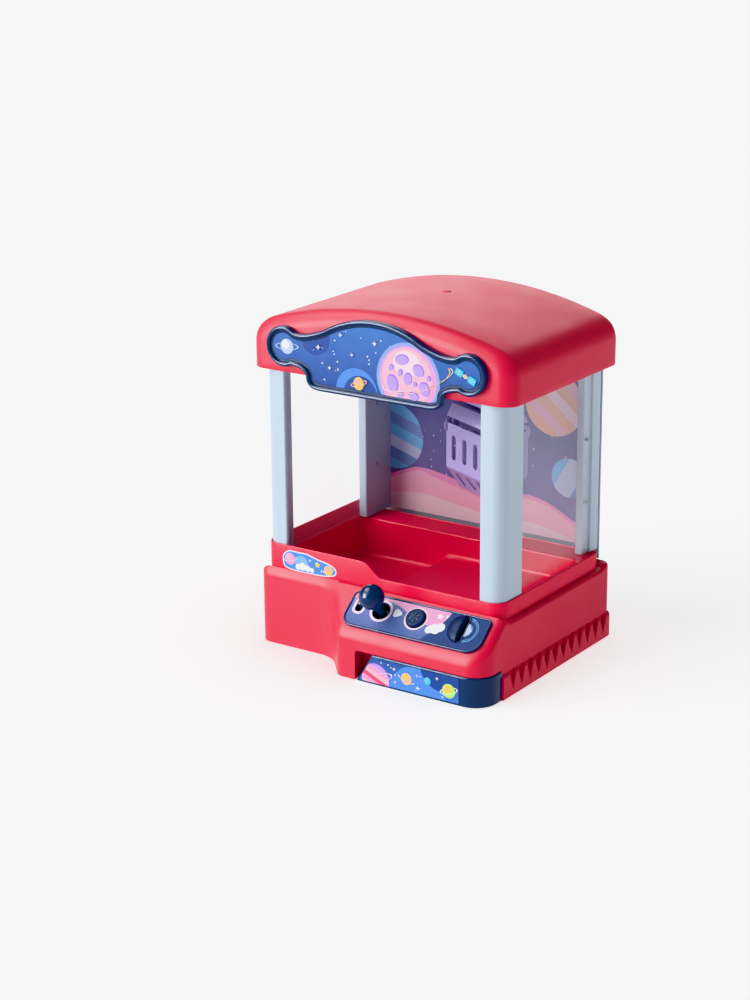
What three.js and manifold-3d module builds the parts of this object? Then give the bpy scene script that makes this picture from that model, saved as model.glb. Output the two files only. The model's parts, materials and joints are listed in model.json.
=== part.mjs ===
// Table-top claw crane machine: a moulded base with a prize tray, four posts, a vaulted roof,
// and a two-jaw claw that swings, travels and drops on a boom under the ceiling.
// Millimetres. +Z is up, the player stands at -Y, and the origin is on the table. The joystick
// reaches past the front, so the whole machine is set back to put the origin under the middle of
// its outline.
import * as THREE from 'three';
import { mergeVertices } from 'three/addons/utils/BufferGeometryUtils.js';
import Module from 'manifold-3d';

const wasm = await Module();
wasm.setup();

// ---------------------------------------------------------------- driving dimensions
const SET_BACK = 4;                    // puts the origin under the middle of the outline
const GAP = 0.3;                       // clearance left between touching pieces
const WALL = 2.5;                      // moulded wall thickness

const BASE = { halfX: 131, back: 112, bottom: 0.8, deck: 69, corner: 9 };
const FRONT = {
  recess: -78.5,                       // flat wall left of the control housing
  face: -113.5,                        // front of the control housing
  sweepTop: -49.5,                     // where the wall starts to sweep forward, along X
  sweepEnd: -20,                       // where it reaches the control housing's face
  sweepInner: 16,
  sweepOuter: 8,
  corner: 20,
  shoulder: 74.5,
};
const SKIRT = { proud: 2.4, low: 6.5, high: 21, pitch: 14.7, front: -82, count: 14, lead: 8, lag: 5.5 };
const SLOPE = { angle: THREE.MathUtils.degToRad(40), y: -80, z: 73.5 };

const TRAY = {
  halfX: 127.5, front: -75.5, back: 97.5, corner: 13, backCorner: 6,
  lowRim: 85, highRim: 98, ledge: 84, lip: 1.2,
  basinX: 121, basinFront: -70, basinBack: 69, basinCorner: 8,
  playFloor: 60, wellFloor: 46, wellEdge: -20, wellSlope: 16,
  stepStart: -18, stepEnd: 2,
};

const POST = { foot: 84.3, top: 263.7, wall: 4.5 };
const FRONT_POST = { x: 126, y: -74, wingX: 22.3, wingY: 35.6, corner: 12.5 };
const REAR_POST = {
  inner: 110, outer: 119, ridge: 121.5, front: 64, ridgeFront: 90.8, back: 107, foot: 85.3, heel: 98.8, heelFoot: 73.3,
};
const SIDE_PANEL = { x: 119.5, thick: 1.5, front: -58, back: 90.4, bottom: 85, top: 262 };
const SCREW = { y: 83, z: [135, 195], head: 3, headHeight: 1.4, shank: 1.3, length: 7 };
const BACK = { card: 107.3, cardThick: 0.8, panelThick: 1.8, halfX: 121 };

const ROOF = {
  halfX: 137.5, front: -78.8, back: 113, bottom: 263, eave: 286, peak: 328, archRadius: 390,
  shoulderX: 118, fillet: 15, wall: 2.5,
};
const CEILING = { z: 264, thick: 2.4 };
const MARQUEE = {
  front: -84, thick: 4.8, earX: 96.5, earZ: 287.8, earRadius: 18.6, crown: 322.5, crownRadius: 102,
  crownHalf: 52, valleyX: 76, valleyTop: 299.5, valleyLow: 269.6, lensX: 72, lensCorner: 16,
  chin: 252, rim: 3.4,
};

const PLATE = { left: -20, right: 124, top: -2, low: -38.5, thick: 2.1, rim: 1.6, corner: 11, topCorner: 5 };
const JOYSTICK = { x: 14.7, v: -17.7, hole: 8.5, ball: 11.5, ballZ: 25, stick: 3.4, pivot: -9.5 };
const BUTTON = { x: 51.5, v: -17.5, radius: 9.2, top: 5, skirt: 10.6 };
const SWITCH = { x: -8.5, v: -17, slotX: 7, slotV: 12 };
const COIN = { x: 101, v: -17.5, slot: 3.2, slotLength: 24, disc: 14 };
const BOARD = { left: -16, right: 88, low: -34, high: -7, z: -18 };

const DRAWER = {
  top: 28.5, bottom: 1.2, front: -114.8, side: 132.3, sideBack: -84, leftTop: 18, leftLow: 1,
  skin: 2.4, boxLeft: 24, boxRight: 122, boxBack: -52, boxTop: 25, floor: 4.8, wall: 1.6, recessLeft: -1.5,
};

const PLATE_Z = { low: 2.4, high: 4.4 };
// Finger pocket beside the drawer: its walls hang from the base shell.
const POCKET = {
  left: DRAWER.recessLeft, right: DRAWER.boxLeft - 2.2, back: -99, wall: 1.6, lintel: 1.2, foot: PLATE_Z.high + GAP,
};

const BOOM = { yaw: THREE.MathUtils.degToRad(-25), pivotY: 30, reach: 72.3, z: 252, height: 5.5, width: 11 };
const HUB = { radius: 15, shaft: 7, hole: 7.5 };
const GEAR = { module: 1.5, teeth: 36, pinionTeeth: 12, z: 268, thick: 5 };
const TROLLEY = { bottom: 240.5, top: 258.6, halfX: 17, halfY: 17 };
const DRUM = { radius: 4, z: 246, width: 8 };
const CLAW = {
  halfX: 29.5, halfY: 24, pivotY: 19.5, pivotZ: 217, faceTop: 220, faceLow: 178.5, tipY: 9, tipZ: 157,
  skin: 2, neckTop: 226, top: 237, capHalfY: 18, core: 204, ear: 7,
};
const SLOT = { columns: [-17.5, 0, 17.5], half: 3.6, low: 187, high: 210, scoopLow: 161, scoopHigh: 175 };
const CELL = { radius: 13, length: 50, count: 3 };

// ---------------------------------------------------------------- materials
const plastic = (color, roughness = 0.35) =>
  new THREE.MeshStandardMaterial({ color, roughness, metalness: 0 });
const metal = (color) => new THREE.MeshStandardMaterial({ color, roughness: 0.35, metalness: 1 });
const RED = plastic(0xd62a45);
const PALE_BLUE = plastic(0xc6d3e0, 0.3);
const NAVY = plastic(0x1c3566, 0.2);
const PURPLE = plastic(0xa488cc, 0.35);
const CLEAR = new THREE.MeshStandardMaterial({
  color: 0xe8eef2, roughness: 0.08, metalness: 0, transparent: true, opacity: 0.3,
});
const PRINT = plastic(0x4a74c4, 0.4);
const SPACE_PRINT = plastic(0x4c4f8f, 0.6);
const DARK = plastic(0x26282c, 0.6);
const RUBBER = plastic(0x2b2b2e, 0.9);
const GREEN = plastic(0x1f6b46, 0.5);
const STEEL = metal(0xb9bdc2);
const CORD = plastic(0xe6e2da, 0.8);

// ---------------------------------------------------------------- solid helpers
function solid(geometry) {
  const bare = geometry.index ? geometry.toNonIndexed() : geometry.clone();
  bare.deleteAttribute('normal');
  bare.deleteAttribute('uv');
  const merged = mergeVertices(bare, 1e-4);
  return new wasm.Manifold(new wasm.Mesh({
    numProp: 3,
    vertProperties: new Float32Array(merged.attributes.position.array),
    triVerts: new Uint32Array(merged.index.array),
  }));
}

function geometryOf(body) {
  const mesh = body.getMesh();
  const geometry = new THREE.BufferGeometry();
  geometry.setAttribute('position', new THREE.BufferAttribute(mesh.vertProperties, 3));
  geometry.setIndex(new THREE.BufferAttribute(mesh.triVerts, 1));
  return geometry;
}

const join = (first, ...rest) => rest.reduce((sum, next) => sum.add(next), first);
const cut = (first, ...rest) => rest.reduce((sum, next) => sum.subtract(next), first);

function box(x0, x1, y0, y1, z0, z1) {
  const geometry = new THREE.BoxGeometry(x1 - x0, y1 - y0, z1 - z0);
  return solid(geometry.translate((x0 + x1) / 2, (y0 + y1) / 2, (z0 + z1) / 2));
}

// A closed outline whose corners [x, y, radius] are rounded by arcs.
function outline(corners) {
  const shape = new THREE.Shape();
  const count = corners.length;
  corners.forEach(([x, y, radius = 0], i) => {
    const here = new THREE.Vector2(x, y);
    const before = new THREE.Vector2(...corners[(i + count - 1) % count]).sub(here).normalize();
    const after = new THREE.Vector2(...corners[(i + 1) % count]).sub(here).normalize();
    const half = Math.acos(THREE.MathUtils.clamp(before.dot(after), -1, 1)) / 2;
    const reach = radius / Math.tan(half);
    const start = here.clone().addScaledVector(before, reach);
    const end = here.clone().addScaledVector(after, reach);
    if (i === 0) shape.moveTo(start.x, start.y);
    else shape.lineTo(start.x, start.y);
    if (radius > 0) {
      const centre = here.clone().add(before.add(after).normalize().multiplyScalar(radius / Math.sin(half)));
      const from = Math.atan2(start.y - centre.y, start.x - centre.x);
      const to = Math.atan2(end.y - centre.y, end.x - centre.x);
      const turn = Math.atan2(Math.sin(to - from), Math.cos(to - from));
      shape.absarc(centre.x, centre.y, radius, from, to, turn < 0);
    }
  });
  shape.closePath();
  return shape;
}

const rectangle = (x0, x1, y0, y1, radius = 0) =>
  outline([[x0, y0, radius], [x1, y0, radius], [x1, y1, radius], [x0, y1, radius]]);

// Outline in XY, extruded from z0 to z1.
function prismZ(shape, z0, z1, curveSegments = 6) {
  const geometry = new THREE.ExtrudeGeometry(shape, { depth: z1 - z0, bevelEnabled: false, curveSegments });
  return solid(geometry.translate(0, 0, z0));
}

// Outline in XZ, extruded from y0 to y1.
function prismY(shape, y0, y1, curveSegments = 6) {
  const geometry = new THREE.ExtrudeGeometry(shape, { depth: y1 - y0, bevelEnabled: false, curveSegments });
  return solid(geometry.rotateX(Math.PI / 2).translate(0, y1, 0));
}

// Outline in YZ, extruded from x0 to x1.
function prismX(shape, x0, x1, curveSegments = 6) {
  const turn = new THREE.Matrix4().makeBasis(
    new THREE.Vector3(0, 1, 0), new THREE.Vector3(0, 0, 1), new THREE.Vector3(1, 0, 0));
  const geometry = new THREE.ExtrudeGeometry(shape, { depth: x1 - x0, bevelEnabled: false, curveSegments });
  return solid(geometry.applyMatrix4(turn).translate(x0, 0, 0));
}

function drum(radius, z0, z1, x = 0, y = 0, sides = 24) {
  const geometry = new THREE.CylinderGeometry(radius, radius, z1 - z0, sides);
  return solid(geometry.rotateX(Math.PI / 2).translate(x, y, (z0 + z1) / 2));
}

// A round bar along X, centred on (y, z).
function barX(radius, x0, x1, y, z, sides = 12) {
  const geometry = new THREE.CylinderGeometry(radius, radius, x1 - x0, sides);
  return solid(geometry.rotateZ(Math.PI / 2).translate((x0 + x1) / 2, y, z));
}

// A round bar along Y, centred on (x, z).
function barY(radius, y0, y1, x, z, sides = 12) {
  const geometry = new THREE.CylinderGeometry(radius, radius, y1 - y0, sides);
  return solid(geometry.translate(x, (y0 + y1) / 2, z));
}

function turned(profile, sides = 24) {
  const points = profile.map(([radius, z]) => new THREE.Vector2(radius, z));
  return solid(new THREE.LatheGeometry(points, sides).rotateX(Math.PI / 2));
}

function moved(body, matrix) {
  return body.transform(matrix.elements);
}

// ---------------------------------------------------------------- assembly helpers
const machine = new THREE.Group();
machine.position.y = SET_BACK;
const panelFrame = new THREE.Group();           // lies on the sloping control face
panelFrame.position.set(0, SLOPE.y, SLOPE.z);
panelFrame.rotation.x = SLOPE.angle;
panelFrame.updateMatrix();
const boomFrame = new THREE.Group();            // +X along the boom, origin over the claw
boomFrame.position.set(
  BOOM.reach * Math.cos(BOOM.yaw), BOOM.pivotY + BOOM.reach * Math.sin(BOOM.yaw), 0);
boomFrame.rotation.z = BOOM.yaw;
machine.add(panelFrame, boomFrame);

function place(parent, name, body, material) {
  const mesh = new THREE.Mesh(geometryOf(body), material);
  mesh.name = name;
  parent.add(mesh);
}

const onPanel = (body) => moved(body, panelFrame.matrix);

// ---------------------------------------------------------------- base
function basePlan(inset = 0) {
  const x = BASE.halfX - inset;
  return outline([
    [x, BASE.back - inset, BASE.corner],
    [-x, BASE.back - inset, BASE.corner],
    [-x, FRONT.recess + inset, BASE.corner],
    [FRONT.sweepTop + inset, FRONT.recess + inset, FRONT.sweepInner],
    [FRONT.sweepEnd + inset, FRONT.face + inset, FRONT.sweepOuter],
    [x, FRONT.face + inset, FRONT.corner - inset],
  ]);
}

// Side profile: front face, rounded nose, 40 degree control slope, shoulder, deck, rear ledge.
function baseProfile(inset = 0) {
  const drop = Math.tan(SLOPE.angle);
  const noseZ = SLOPE.z - (SLOPE.y - FRONT.face) * drop;
  const shoulderY = SLOPE.y + (FRONT.shoulder - SLOPE.z) / drop;
  const back = BASE.back - inset;
  return outline([
    [FRONT.face + inset, -10],
    [back, -10],
    [back, 73 - inset, 5],
    [TRAY.back + 1 - inset, 73 - inset],
    [TRAY.back + 1 - inset, BASE.deck - inset],
    [TRAY.front - GAP + inset, BASE.deck - inset],
    [TRAY.front - GAP + inset, FRONT.shoulder - inset],
    [shoulderY + inset / 3, FRONT.shoulder - inset],
    [FRONT.face + inset, noseZ - inset / 2, 9],
  ]);
}

// A proud band low on each side wall, with a row of V notches that lean back.
function skirtBand() {
  const back = BASE.back - 1;
  const points = [[FRONT.recess, BASE.bottom], [back, BASE.bottom], [back, SKIRT.high]];
  for (let i = SKIRT.count - 1; i >= 0; i -= 1) {
    const foot = SKIRT.front + i * SKIRT.pitch;
    if (foot - SKIRT.lead > FRONT.recess && foot + SKIRT.lag < back) {
      points.push([foot + SKIRT.lag, SKIRT.high], [foot, SKIRT.low], [foot - SKIRT.lead, SKIRT.high]);
    }
  }
  points.push([FRONT.recess, SKIRT.high]);
  const band = (x0, x1) => prismX(outline(points), x0, x1);
  const reach = BASE.halfX + SKIRT.proud;
  return [band(BASE.halfX - WALL, reach), band(-reach, -BASE.halfX + WALL)];
}

function drawerOpening() {
  const left = DRAWER.recessLeft;
  const front = box(left, BASE.halfX + 10, FRONT.face - 10, FRONT.face + 26, -1, DRAWER.top + GAP);
  const side = box(BASE.halfX - 8, BASE.halfX + 10, FRONT.face, DRAWER.sideBack + GAP, -1, DRAWER.top + GAP);
  const mouth = box(left, DRAWER.boxRight + 2, FRONT.face - 1, FRONT.face + 60, -1, DRAWER.top + GAP);
  return join(front, side, mouth);
}

function panelOpenings() {
  return [
    drum(JOYSTICK.hole, -8, 8, JOYSTICK.x, JOYSTICK.v),
    drum(BUTTON.radius + 0.5, -8, 8, BUTTON.x, BUTTON.v),
    prismZ(rectangle(SWITCH.x - SWITCH.slotX / 2, SWITCH.x + SWITCH.slotX / 2,
      SWITCH.v - SWITCH.slotV / 2, SWITCH.v + SWITCH.slotV / 2, 2), -8, 8, 3),
    prismZ(rectangle(COIN.x - COIN.slot / 2, COIN.x + COIN.slot / 2,
      COIN.v - COIN.slotLength / 2, COIN.v + COIN.slotLength / 2), -8, 8),
  ];
}

function baseShell() {
  const wide = BASE.halfX + 20;
  const outer = prismZ(basePlan(), BASE.bottom, 80, 3).intersect(prismX(baseProfile(), -wide, wide, 2));
  const inner = prismZ(basePlan(WALL), -5, 80, 3).intersect(prismX(baseProfile(WALL), -wide, wide, 2));
  const deckHole = prismZ(rectangle(-TRAY.basinX - 3, TRAY.basinX + 3,
    TRAY.basinFront - 2.6, TRAY.basinBack + 3, TRAY.basinCorner), BASE.deck - 10, 90, 2);
  let shell = cut(join(outer, ...skirtBand()), inner, deckHole, drawerOpening());
  shell = cut(shell, ...panelOpenings().map(onPanel));
  // Finger pocket beside the drawer, and the pillars that carry the circuit board.
  const { left, right, back, wall, lintel, foot } = POCKET;
  const edge = FRONT.face + 1;
  const under = DRAWER.top + lintel;
  const cheek = box(left - wall, left, edge, back, BASE.bottom, under + wall);
  const rear = box(left - wall, right, back, back + wall, foot, under + wall);
  const roofOver = box(left - wall, DRAWER.boxRight, edge, back, under, under + wall);
  const pillars = [BOARD.left + 4, BOARD.right - 4].map((x) =>
    onPanel(drum(2, BOARD.z + 1.6 + GAP, -1, x, BOARD.low + 3, 10)));
  return join(shell, cheek, rear, roofOver, ...pillars);
}
place(machine, 'base_shell', baseShell(), RED);

const COVER = { halfX: 43, y0: 36, y1: 92 };
const FEET = [[-112, 92], [112, 92], [-112, -58], [88, -92]];

function basePlate() {
  const plate = prismZ(basePlan(WALL + GAP), PLATE_Z.low, PLATE_Z.high, 4);
  const rail = (x) => box(x, x + 1.6, -104, DRAWER.boxBack + 3, PLATE_Z.high - 1, 12);
  const stop = box(40, 100, DRAWER.boxBack + 3, DRAWER.boxBack + 5, PLATE_Z.high - 1, 14);
  return cut(
    join(plate, rail(DRAWER.boxLeft - GAP - 1.6), rail(DRAWER.boxRight + GAP), stop),
    box(-COVER.halfX, COVER.halfX, COVER.y0, COVER.y1, 0, 10),
    box(DRAWER.recessLeft - 2, BASE.halfX + 5, FRONT.face - 5, -111, 0, 10),
    box(BASE.halfX - 4.5, BASE.halfX + 5, FRONT.face - 5, DRAWER.sideBack + 1, 0, 10),
    box(DRAWER.recessLeft - 2.2, DRAWER.recessLeft + 0.6, FRONT.face - 5, -97, 0, 10),
    drum(30, -1, 12, BASE.halfX - 22.6, -92.2).intersect(box(100, 140, -130, -92, 0, 4.2))
      .subtract(drum(17.6, -2, 12, BASE.halfX - 22.6, -92.2)),
  );
}
place(machine, 'base_plate', basePlate(), DARK);
place(machine, 'battery_cover', box(-COVER.halfX + GAP, COVER.halfX - GAP,
  COVER.y0 + GAP, COVER.y1 - GAP, PLATE_Z.low, PLATE_Z.high - 0.4), DARK);
FEET.forEach(([x, y], i) => {
  place(machine, `foot_${i + 1}`, drum(7.5, 0, PLATE_Z.low - GAP, x, y, 16), RUBBER);
});

// ---------------------------------------------------------------- prize tray
function trayPlan(inset = 0) {
  const x = TRAY.halfX - inset;
  const front = TRAY.corner - inset;
  const rear = Math.max(TRAY.backCorner - inset, 1);
  return outline([
    [x, TRAY.back - inset, rear], [-x, TRAY.back - inset, rear],
    [-x, TRAY.front + inset, front], [x, TRAY.front + inset, front],
  ]);
}

function basin(inset) {
  const skin = TRAY.basinCorner + inset;
  const plan = rectangle(-TRAY.basinX - inset, TRAY.basinX + inset,
    TRAY.basinFront - inset, TRAY.basinBack + inset, skin);
  const wellLow = TRAY.wellFloor - inset;
  const playLow = TRAY.playFloor - inset;
  const side = outline([
    [-TRAY.basinX - 5, wellLow], [TRAY.wellEdge - TRAY.wellSlope, wellLow], [TRAY.wellEdge, playLow],
    [TRAY.basinX + 5, playLow], [TRAY.basinX + 5, TRAY.lowRim + 5], [-TRAY.basinX - 5, TRAY.lowRim + 5],
  ]);
  return prismZ(plan, 0, 120, 2).intersect(prismY(side, -90, 100));
}

function tray() {
  const rimTop = outline([
    [-TRAY.halfX - 5, BASE.deck + GAP], [TRAY.halfX + 5, BASE.deck + GAP],
    [TRAY.halfX + 5, TRAY.lowRim], [TRAY.stepEnd, TRAY.lowRim, 5],
    [TRAY.stepStart, TRAY.highRim, 5], [-TRAY.halfX - 5, TRAY.highRim],
  ]);
  const band = prismZ(trayPlan(), 60, 110, 3).intersect(prismY(rimTop, -90, 110, 3));
  const rearLow = box(-TRAY.halfX - 5, TRAY.stepEnd, 84, 110, TRAY.lowRim, 110);
  const inside = prismZ(trayPlan(TRAY.lip), TRAY.ledge, 120, 3);
  const under = cut(prismZ(trayPlan(WALL), 50, TRAY.ledge - 2, 3), basin(1.8));
  const cup = basin(1.8).intersect(box(-130, 130, -90, 100, 30, TRAY.ledge));
  return cut(join(cut(band, rearLow, inside, under), cup), basin(0));
}
place(machine, 'prize_tray', tray(), RED);

// ---------------------------------------------------------------- posts and walls
function frontPost(side) {
  const { x, y, wingX, wingY, corner } = FRONT_POST;
  const w = POST.wall;
  const plan = outline([
    [side * x, y, corner], [side * x, y + wingY, 1.5], [side * (x - w), y + wingY, 1.5],
    [side * (x - w), y + w, corner - w], [side * (x - wingX), y + w, 1.5], [side * (x - wingX), y, 1.5],
  ]);
  return prismZ(plan, POST.foot, POST.top, 4);
}

function rearPost(side) {
  const { inner, outer, ridge, front, ridgeFront, back } = REAR_POST;
  const plan = outline([
    [side * inner, front, 1.2], [side * outer, front, 1.2], [side * outer, ridgeFront],
    [side * ridge, ridgeFront, 0.8], [side * ridge, back, 3], [side * inner, back],
  ]);
  const screwHoles = [0, 1].map((i) => barX(1.6, side > 0 ? 104 : -125, side > 0 ? 125 : -104,
    SCREW.y, SCREW.z[i], 10));
  const xs = [side * (inner + 1), side * ridge].sort((a, b) => a - b);
  const heel = box(...xs, REAR_POST.heel, back - 2, REAR_POST.heelFoot, REAR_POST.foot + 1);
  return cut(join(prismZ(plan, REAR_POST.foot, POST.top, 3), heel), ...screwHoles);
}

const SIDES = [['left', -1], ['right', 1]];

function sidePanel(side) {
  const { x, thick, front, back, bottom, top } = SIDE_PANEL;
  const inner = side * (x);
  const outer = side * (x + thick);
  const holes = SCREW.z.map((z) => barX(1.6, Math.min(inner, outer) - 2, Math.max(inner, outer) + 2,
    SCREW.y, z, 10));
  return cut(box(Math.min(inner, outer), Math.max(inner, outer), front, back, bottom, top), ...holes);
}

function panelScrew(side, z) {
  const face = SIDE_PANEL.x + SIDE_PANEL.thick + GAP;
  const head = [side * face, side * (face + SCREW.headHeight)].sort((a, b) => a - b);
  const shank = [side * (face - SCREW.length), side * (face + 0.2)].sort((a, b) => a - b);
  return join(barX(SCREW.head, ...head, SCREW.y, z, 14), barX(SCREW.shank, ...shank, SCREW.y, z, 8));
}

SIDES.forEach(([label, side]) => {
  place(machine, `front_${label}_post`, frontPost(side), PALE_BLUE);
  place(machine, `rear_${label}_post`, rearPost(side), PALE_BLUE);
  place(machine, `${label}_side_panel`, sidePanel(side), CLEAR);
  SCREW.z.forEach((z, i) => {
    place(machine, `${label}_panel_screw_${i + 1}`, panelScrew(side, z), STEEL);
  });
});

const cardBack = BACK.card + BACK.cardThick;
place(machine, 'backdrop_card', box(-BACK.halfX + 2, BACK.halfX - 2, BACK.card, cardBack,
  TRAY.lowRim + GAP, POST.top), SPACE_PRINT);
place(machine, 'back_panel', box(-BACK.halfX, BACK.halfX, cardBack + GAP, cardBack + GAP + BACK.panelThick,
  73.5 + GAP, POST.top), PALE_BLUE);

// ---------------------------------------------------------------- roof
// Vault section in XZ: upright sides, a turned shoulder and a shallow arch.
function roofSection(inset, low) {
  const half = ROOF.halfX - inset;
  const shoulder = ROOF.shoulderX - inset;
  const radius = ROOF.archRadius - inset;
  const centreZ = ROOF.peak - ROOF.archRadius;
  const angle = Math.asin(shoulder / radius);
  const shoulderZ = centreZ + radius * Math.cos(angle);
  const shape = new THREE.Shape();
  shape.moveTo(-half, low);
  shape.lineTo(half, low);
  shape.lineTo(half, ROOF.eave);
  const bend = ROOF.eave + (shoulderZ - ROOF.eave) * 0.72;
  shape.quadraticCurveTo(half, bend, shoulder, shoulderZ);
  shape.absarc(0, centreZ, radius, Math.PI / 2 - angle, Math.PI / 2 + angle, false);
  shape.quadraticCurveTo(-half, bend, -half, ROOF.eave);
  shape.closePath();
  return shape;
}

function roofBody(inset, low) {
  const round = ROOF.fillet - inset;
  const depth = ROOF.back - ROOF.front - 2 * inset;
  const geometry = new THREE.ExtrudeGeometry(roofSection(inset + round, low), {
    depth: depth - 2 * round, bevelEnabled: true, bevelThickness: round, bevelSize: round,
    bevelSegments: 3, curveSegments: 7,
  });
  return solid(geometry.rotateX(Math.PI / 2).translate(0, ROOF.back - inset - round, 0));
}

function roof() {
  const below = box(-200, 200, -200, 200, 200, ROOF.bottom);
  return cut(roofBody(0, 240), roofBody(ROOF.wall, 235), below);
}
place(machine, 'roof_shell', roof(), RED);

function ceiling() {
  const edge = ROOF.wall + 2 * GAP;
  const plan = rectangle(-ROOF.halfX + edge, ROOF.halfX - edge, ROOF.front + edge, ROOF.back - edge,
    ROOF.fillet - edge);
  return cut(prismZ(plan, CEILING.z, CEILING.z + CEILING.thick, 5),
    drum(HUB.hole, 200, 300, 0, BOOM.pivotY));
}
place(machine, 'ceiling_plate', ceiling(), PALE_BLUE);

// Crown arc between two round ears, on a flat chin: drawn as one outline, inset for the label.
function marqueeShape(inset) {
  const m = MARQUEE;
  const crownR = m.crownRadius - inset;
  const crownZ = m.crown - m.crownRadius;
  const crownAngle = Math.asin(m.crownHalf / m.crownRadius);
  const ear = m.earRadius - inset;
  const upper = THREE.MathUtils.degToRad(128);
  const lower = THREE.MathUtils.degToRad(-118);
  const shape = new THREE.Shape();
  shape.moveTo(m.lensX - inset - m.lensCorner, m.chin + inset);
  shape.quadraticCurveTo(m.lensX - inset, m.chin + inset, m.lensX - inset, m.valleyLow - 6 + inset);
  shape.quadraticCurveTo(m.lensX - inset, m.valleyLow + inset,
    m.earX + ear * Math.cos(lower), m.earZ + ear * Math.sin(lower));
  shape.absarc(m.earX, m.earZ, ear, lower, upper, false);
  shape.quadraticCurveTo(m.valleyX, m.valleyTop - 1 - inset,
    crownR * Math.sin(crownAngle), crownZ + crownR * Math.cos(crownAngle));
  shape.absarc(0, crownZ, crownR, Math.PI / 2 - crownAngle, Math.PI / 2 + crownAngle, false);
  shape.quadraticCurveTo(-m.valleyX, m.valleyTop - 1 - inset,
    -m.earX + ear * Math.cos(Math.PI - upper), m.earZ + ear * Math.sin(upper));
  shape.absarc(-m.earX, m.earZ, ear, Math.PI - upper, Math.PI - lower, false);
  shape.quadraticCurveTo(-m.lensX + inset, m.valleyLow + inset,
    -m.lensX + inset, m.valleyLow - 6 + inset);
  shape.quadraticCurveTo(-m.lensX + inset, m.chin + inset, -m.lensX + inset + m.lensCorner, m.chin + inset);
  shape.closePath();
  return shape;
}

const marqueeBack = MARQUEE.front + MARQUEE.thick;
place(machine, 'marquee_frame', cut(prismY(marqueeShape(0), MARQUEE.front, marqueeBack, 6),
  prismY(marqueeShape(MARQUEE.rim), MARQUEE.front - 1, MARQUEE.front + 1.4, 6)), NAVY);
place(machine, 'marquee_label', prismY(marqueeShape(MARQUEE.rim + GAP),
  MARQUEE.front + 0.5, MARQUEE.front + 1.1, 6), PRINT);

// ---------------------------------------------------------------- control panel
function plateShape(inset) {
  return outline([
    [PLATE.left + inset, PLATE.low + inset, PLATE.corner - inset],
    [PLATE.right - inset, PLATE.low + inset, PLATE.corner + 3 - inset],
    [PLATE.right - inset, PLATE.top - inset, PLATE.topCorner - inset],
    [PLATE.left + inset, PLATE.top - inset, PLATE.topCorner + 2 - inset],
  ]);
}

const plateTop = GAP + PLATE.thick;
place(panelFrame, 'control_plate', cut(prismZ(plateShape(0), GAP, plateTop, 3),
  prismZ(plateShape(PLATE.rim), plateTop - 0.9, plateTop + 1, 3), ...panelOpenings()), NAVY);
place(panelFrame, 'control_label', cut(prismZ(plateShape(PLATE.rim + GAP), plateTop - 0.6, plateTop - 0.1, 3),
  ...panelOpenings()), PRINT);

function joystickKnob() {
  const { x, v, ball, ballZ, stick, pivot } = JOYSTICK;
  const sphere = solid(new THREE.SphereGeometry(ball, 18, 10).rotateX(Math.PI / 2).translate(0, 0, ballZ));
  const neck = turned([[0, pivot - 3], [stick - 0.6, pivot - 3], [stick - 0.6, -1], [stick, 2],
    [5, 11], [7.5, 17], [0, 17]], 20);
  const pins = barY(1.1, -4.9, 4.9, 0, pivot, 10);
  return join(sphere, neck, pins).translate([x, v, 0]);
}

function joystickGimbal() {
  const { x, v, pivot } = JOYSTICK;
  const ring = cut(drum(7, pivot - 2.2, pivot + 2.2, 0, 0, 20), drum(4.2, pivot - 3, pivot + 3, 0, 0, 20));
  const pins = join(ring, barX(1.1, 6.5, 10, 0, pivot, 10), barX(1.1, -10, -6.5, 0, pivot, 10));
  return cut(pins, barY(1.4, -8, 8, 0, pivot, 10)).translate([x, v, 0]);
}

function joystickSocket() {
  const { x, v, pivot } = JOYSTICK;
  const wall = cut(drum(11.4, pivot - 6, -3.2, 0, 0, 24), drum(9.4, pivot - 4.6, 0, 0, 0, 24));
  return cut(wall, barX(1.4, -14, 14, 0, pivot, 10)).translate([x, v, 0]);
}

place(panelFrame, 'joystick_knob', joystickKnob(), NAVY);
place(panelFrame, 'joystick_gimbal', joystickGimbal(), DARK);
place(panelFrame, 'joystick_socket', joystickSocket(), DARK);

function pushButton() {
  const { radius, top, skirt } = BUTTON;
  const cap = turned([[0, -7], [skirt, -7], [skirt, -5.6], [radius, -5.6], [radius, top - 1.4],
    [radius - 1.4, top], [0, top]], 28);
  return join(cap, drum(2.5, -10.5, -6, 0, 0, 12)).translate([BUTTON.x, BUTTON.v, 0]);
}

place(panelFrame, 'push_button', pushButton(), NAVY);
place(panelFrame, 'button_dome', turned([[0, BOARD.z + 1.9], [6, BOARD.z + 1.9], [5, BOARD.z + 3],
  [3, BOARD.z + 4], [0, BOARD.z + 4]], 16).translate([BUTTON.x, BUTTON.v, 0]), RUBBER);
place(panelFrame, 'circuit_board', box(BOARD.left, BOARD.right, BOARD.low, BOARD.high,
  BOARD.z, BOARD.z + 1.6), GREEN);

function switchSlider() {
  const { x, v } = SWITCH;
  const knob = prismZ(rectangle(x - 2.6, x + 2.6, v - 0.4, v + 5, 1), -4, 4.4, 2);
  return join(knob, box(x - 4.6, x + 4.6, v - 1, v + 5.4, -5, -3.4));
}
place(panelFrame, 'switch_slider', switchSlider(), DARK);
place(panelFrame, 'switch_body', box(SWITCH.x - 5.5, SWITCH.x + 5.5, SWITCH.v - 8, SWITCH.v + 8,
  BOARD.z + 1.9, -5.3), DARK);

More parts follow.
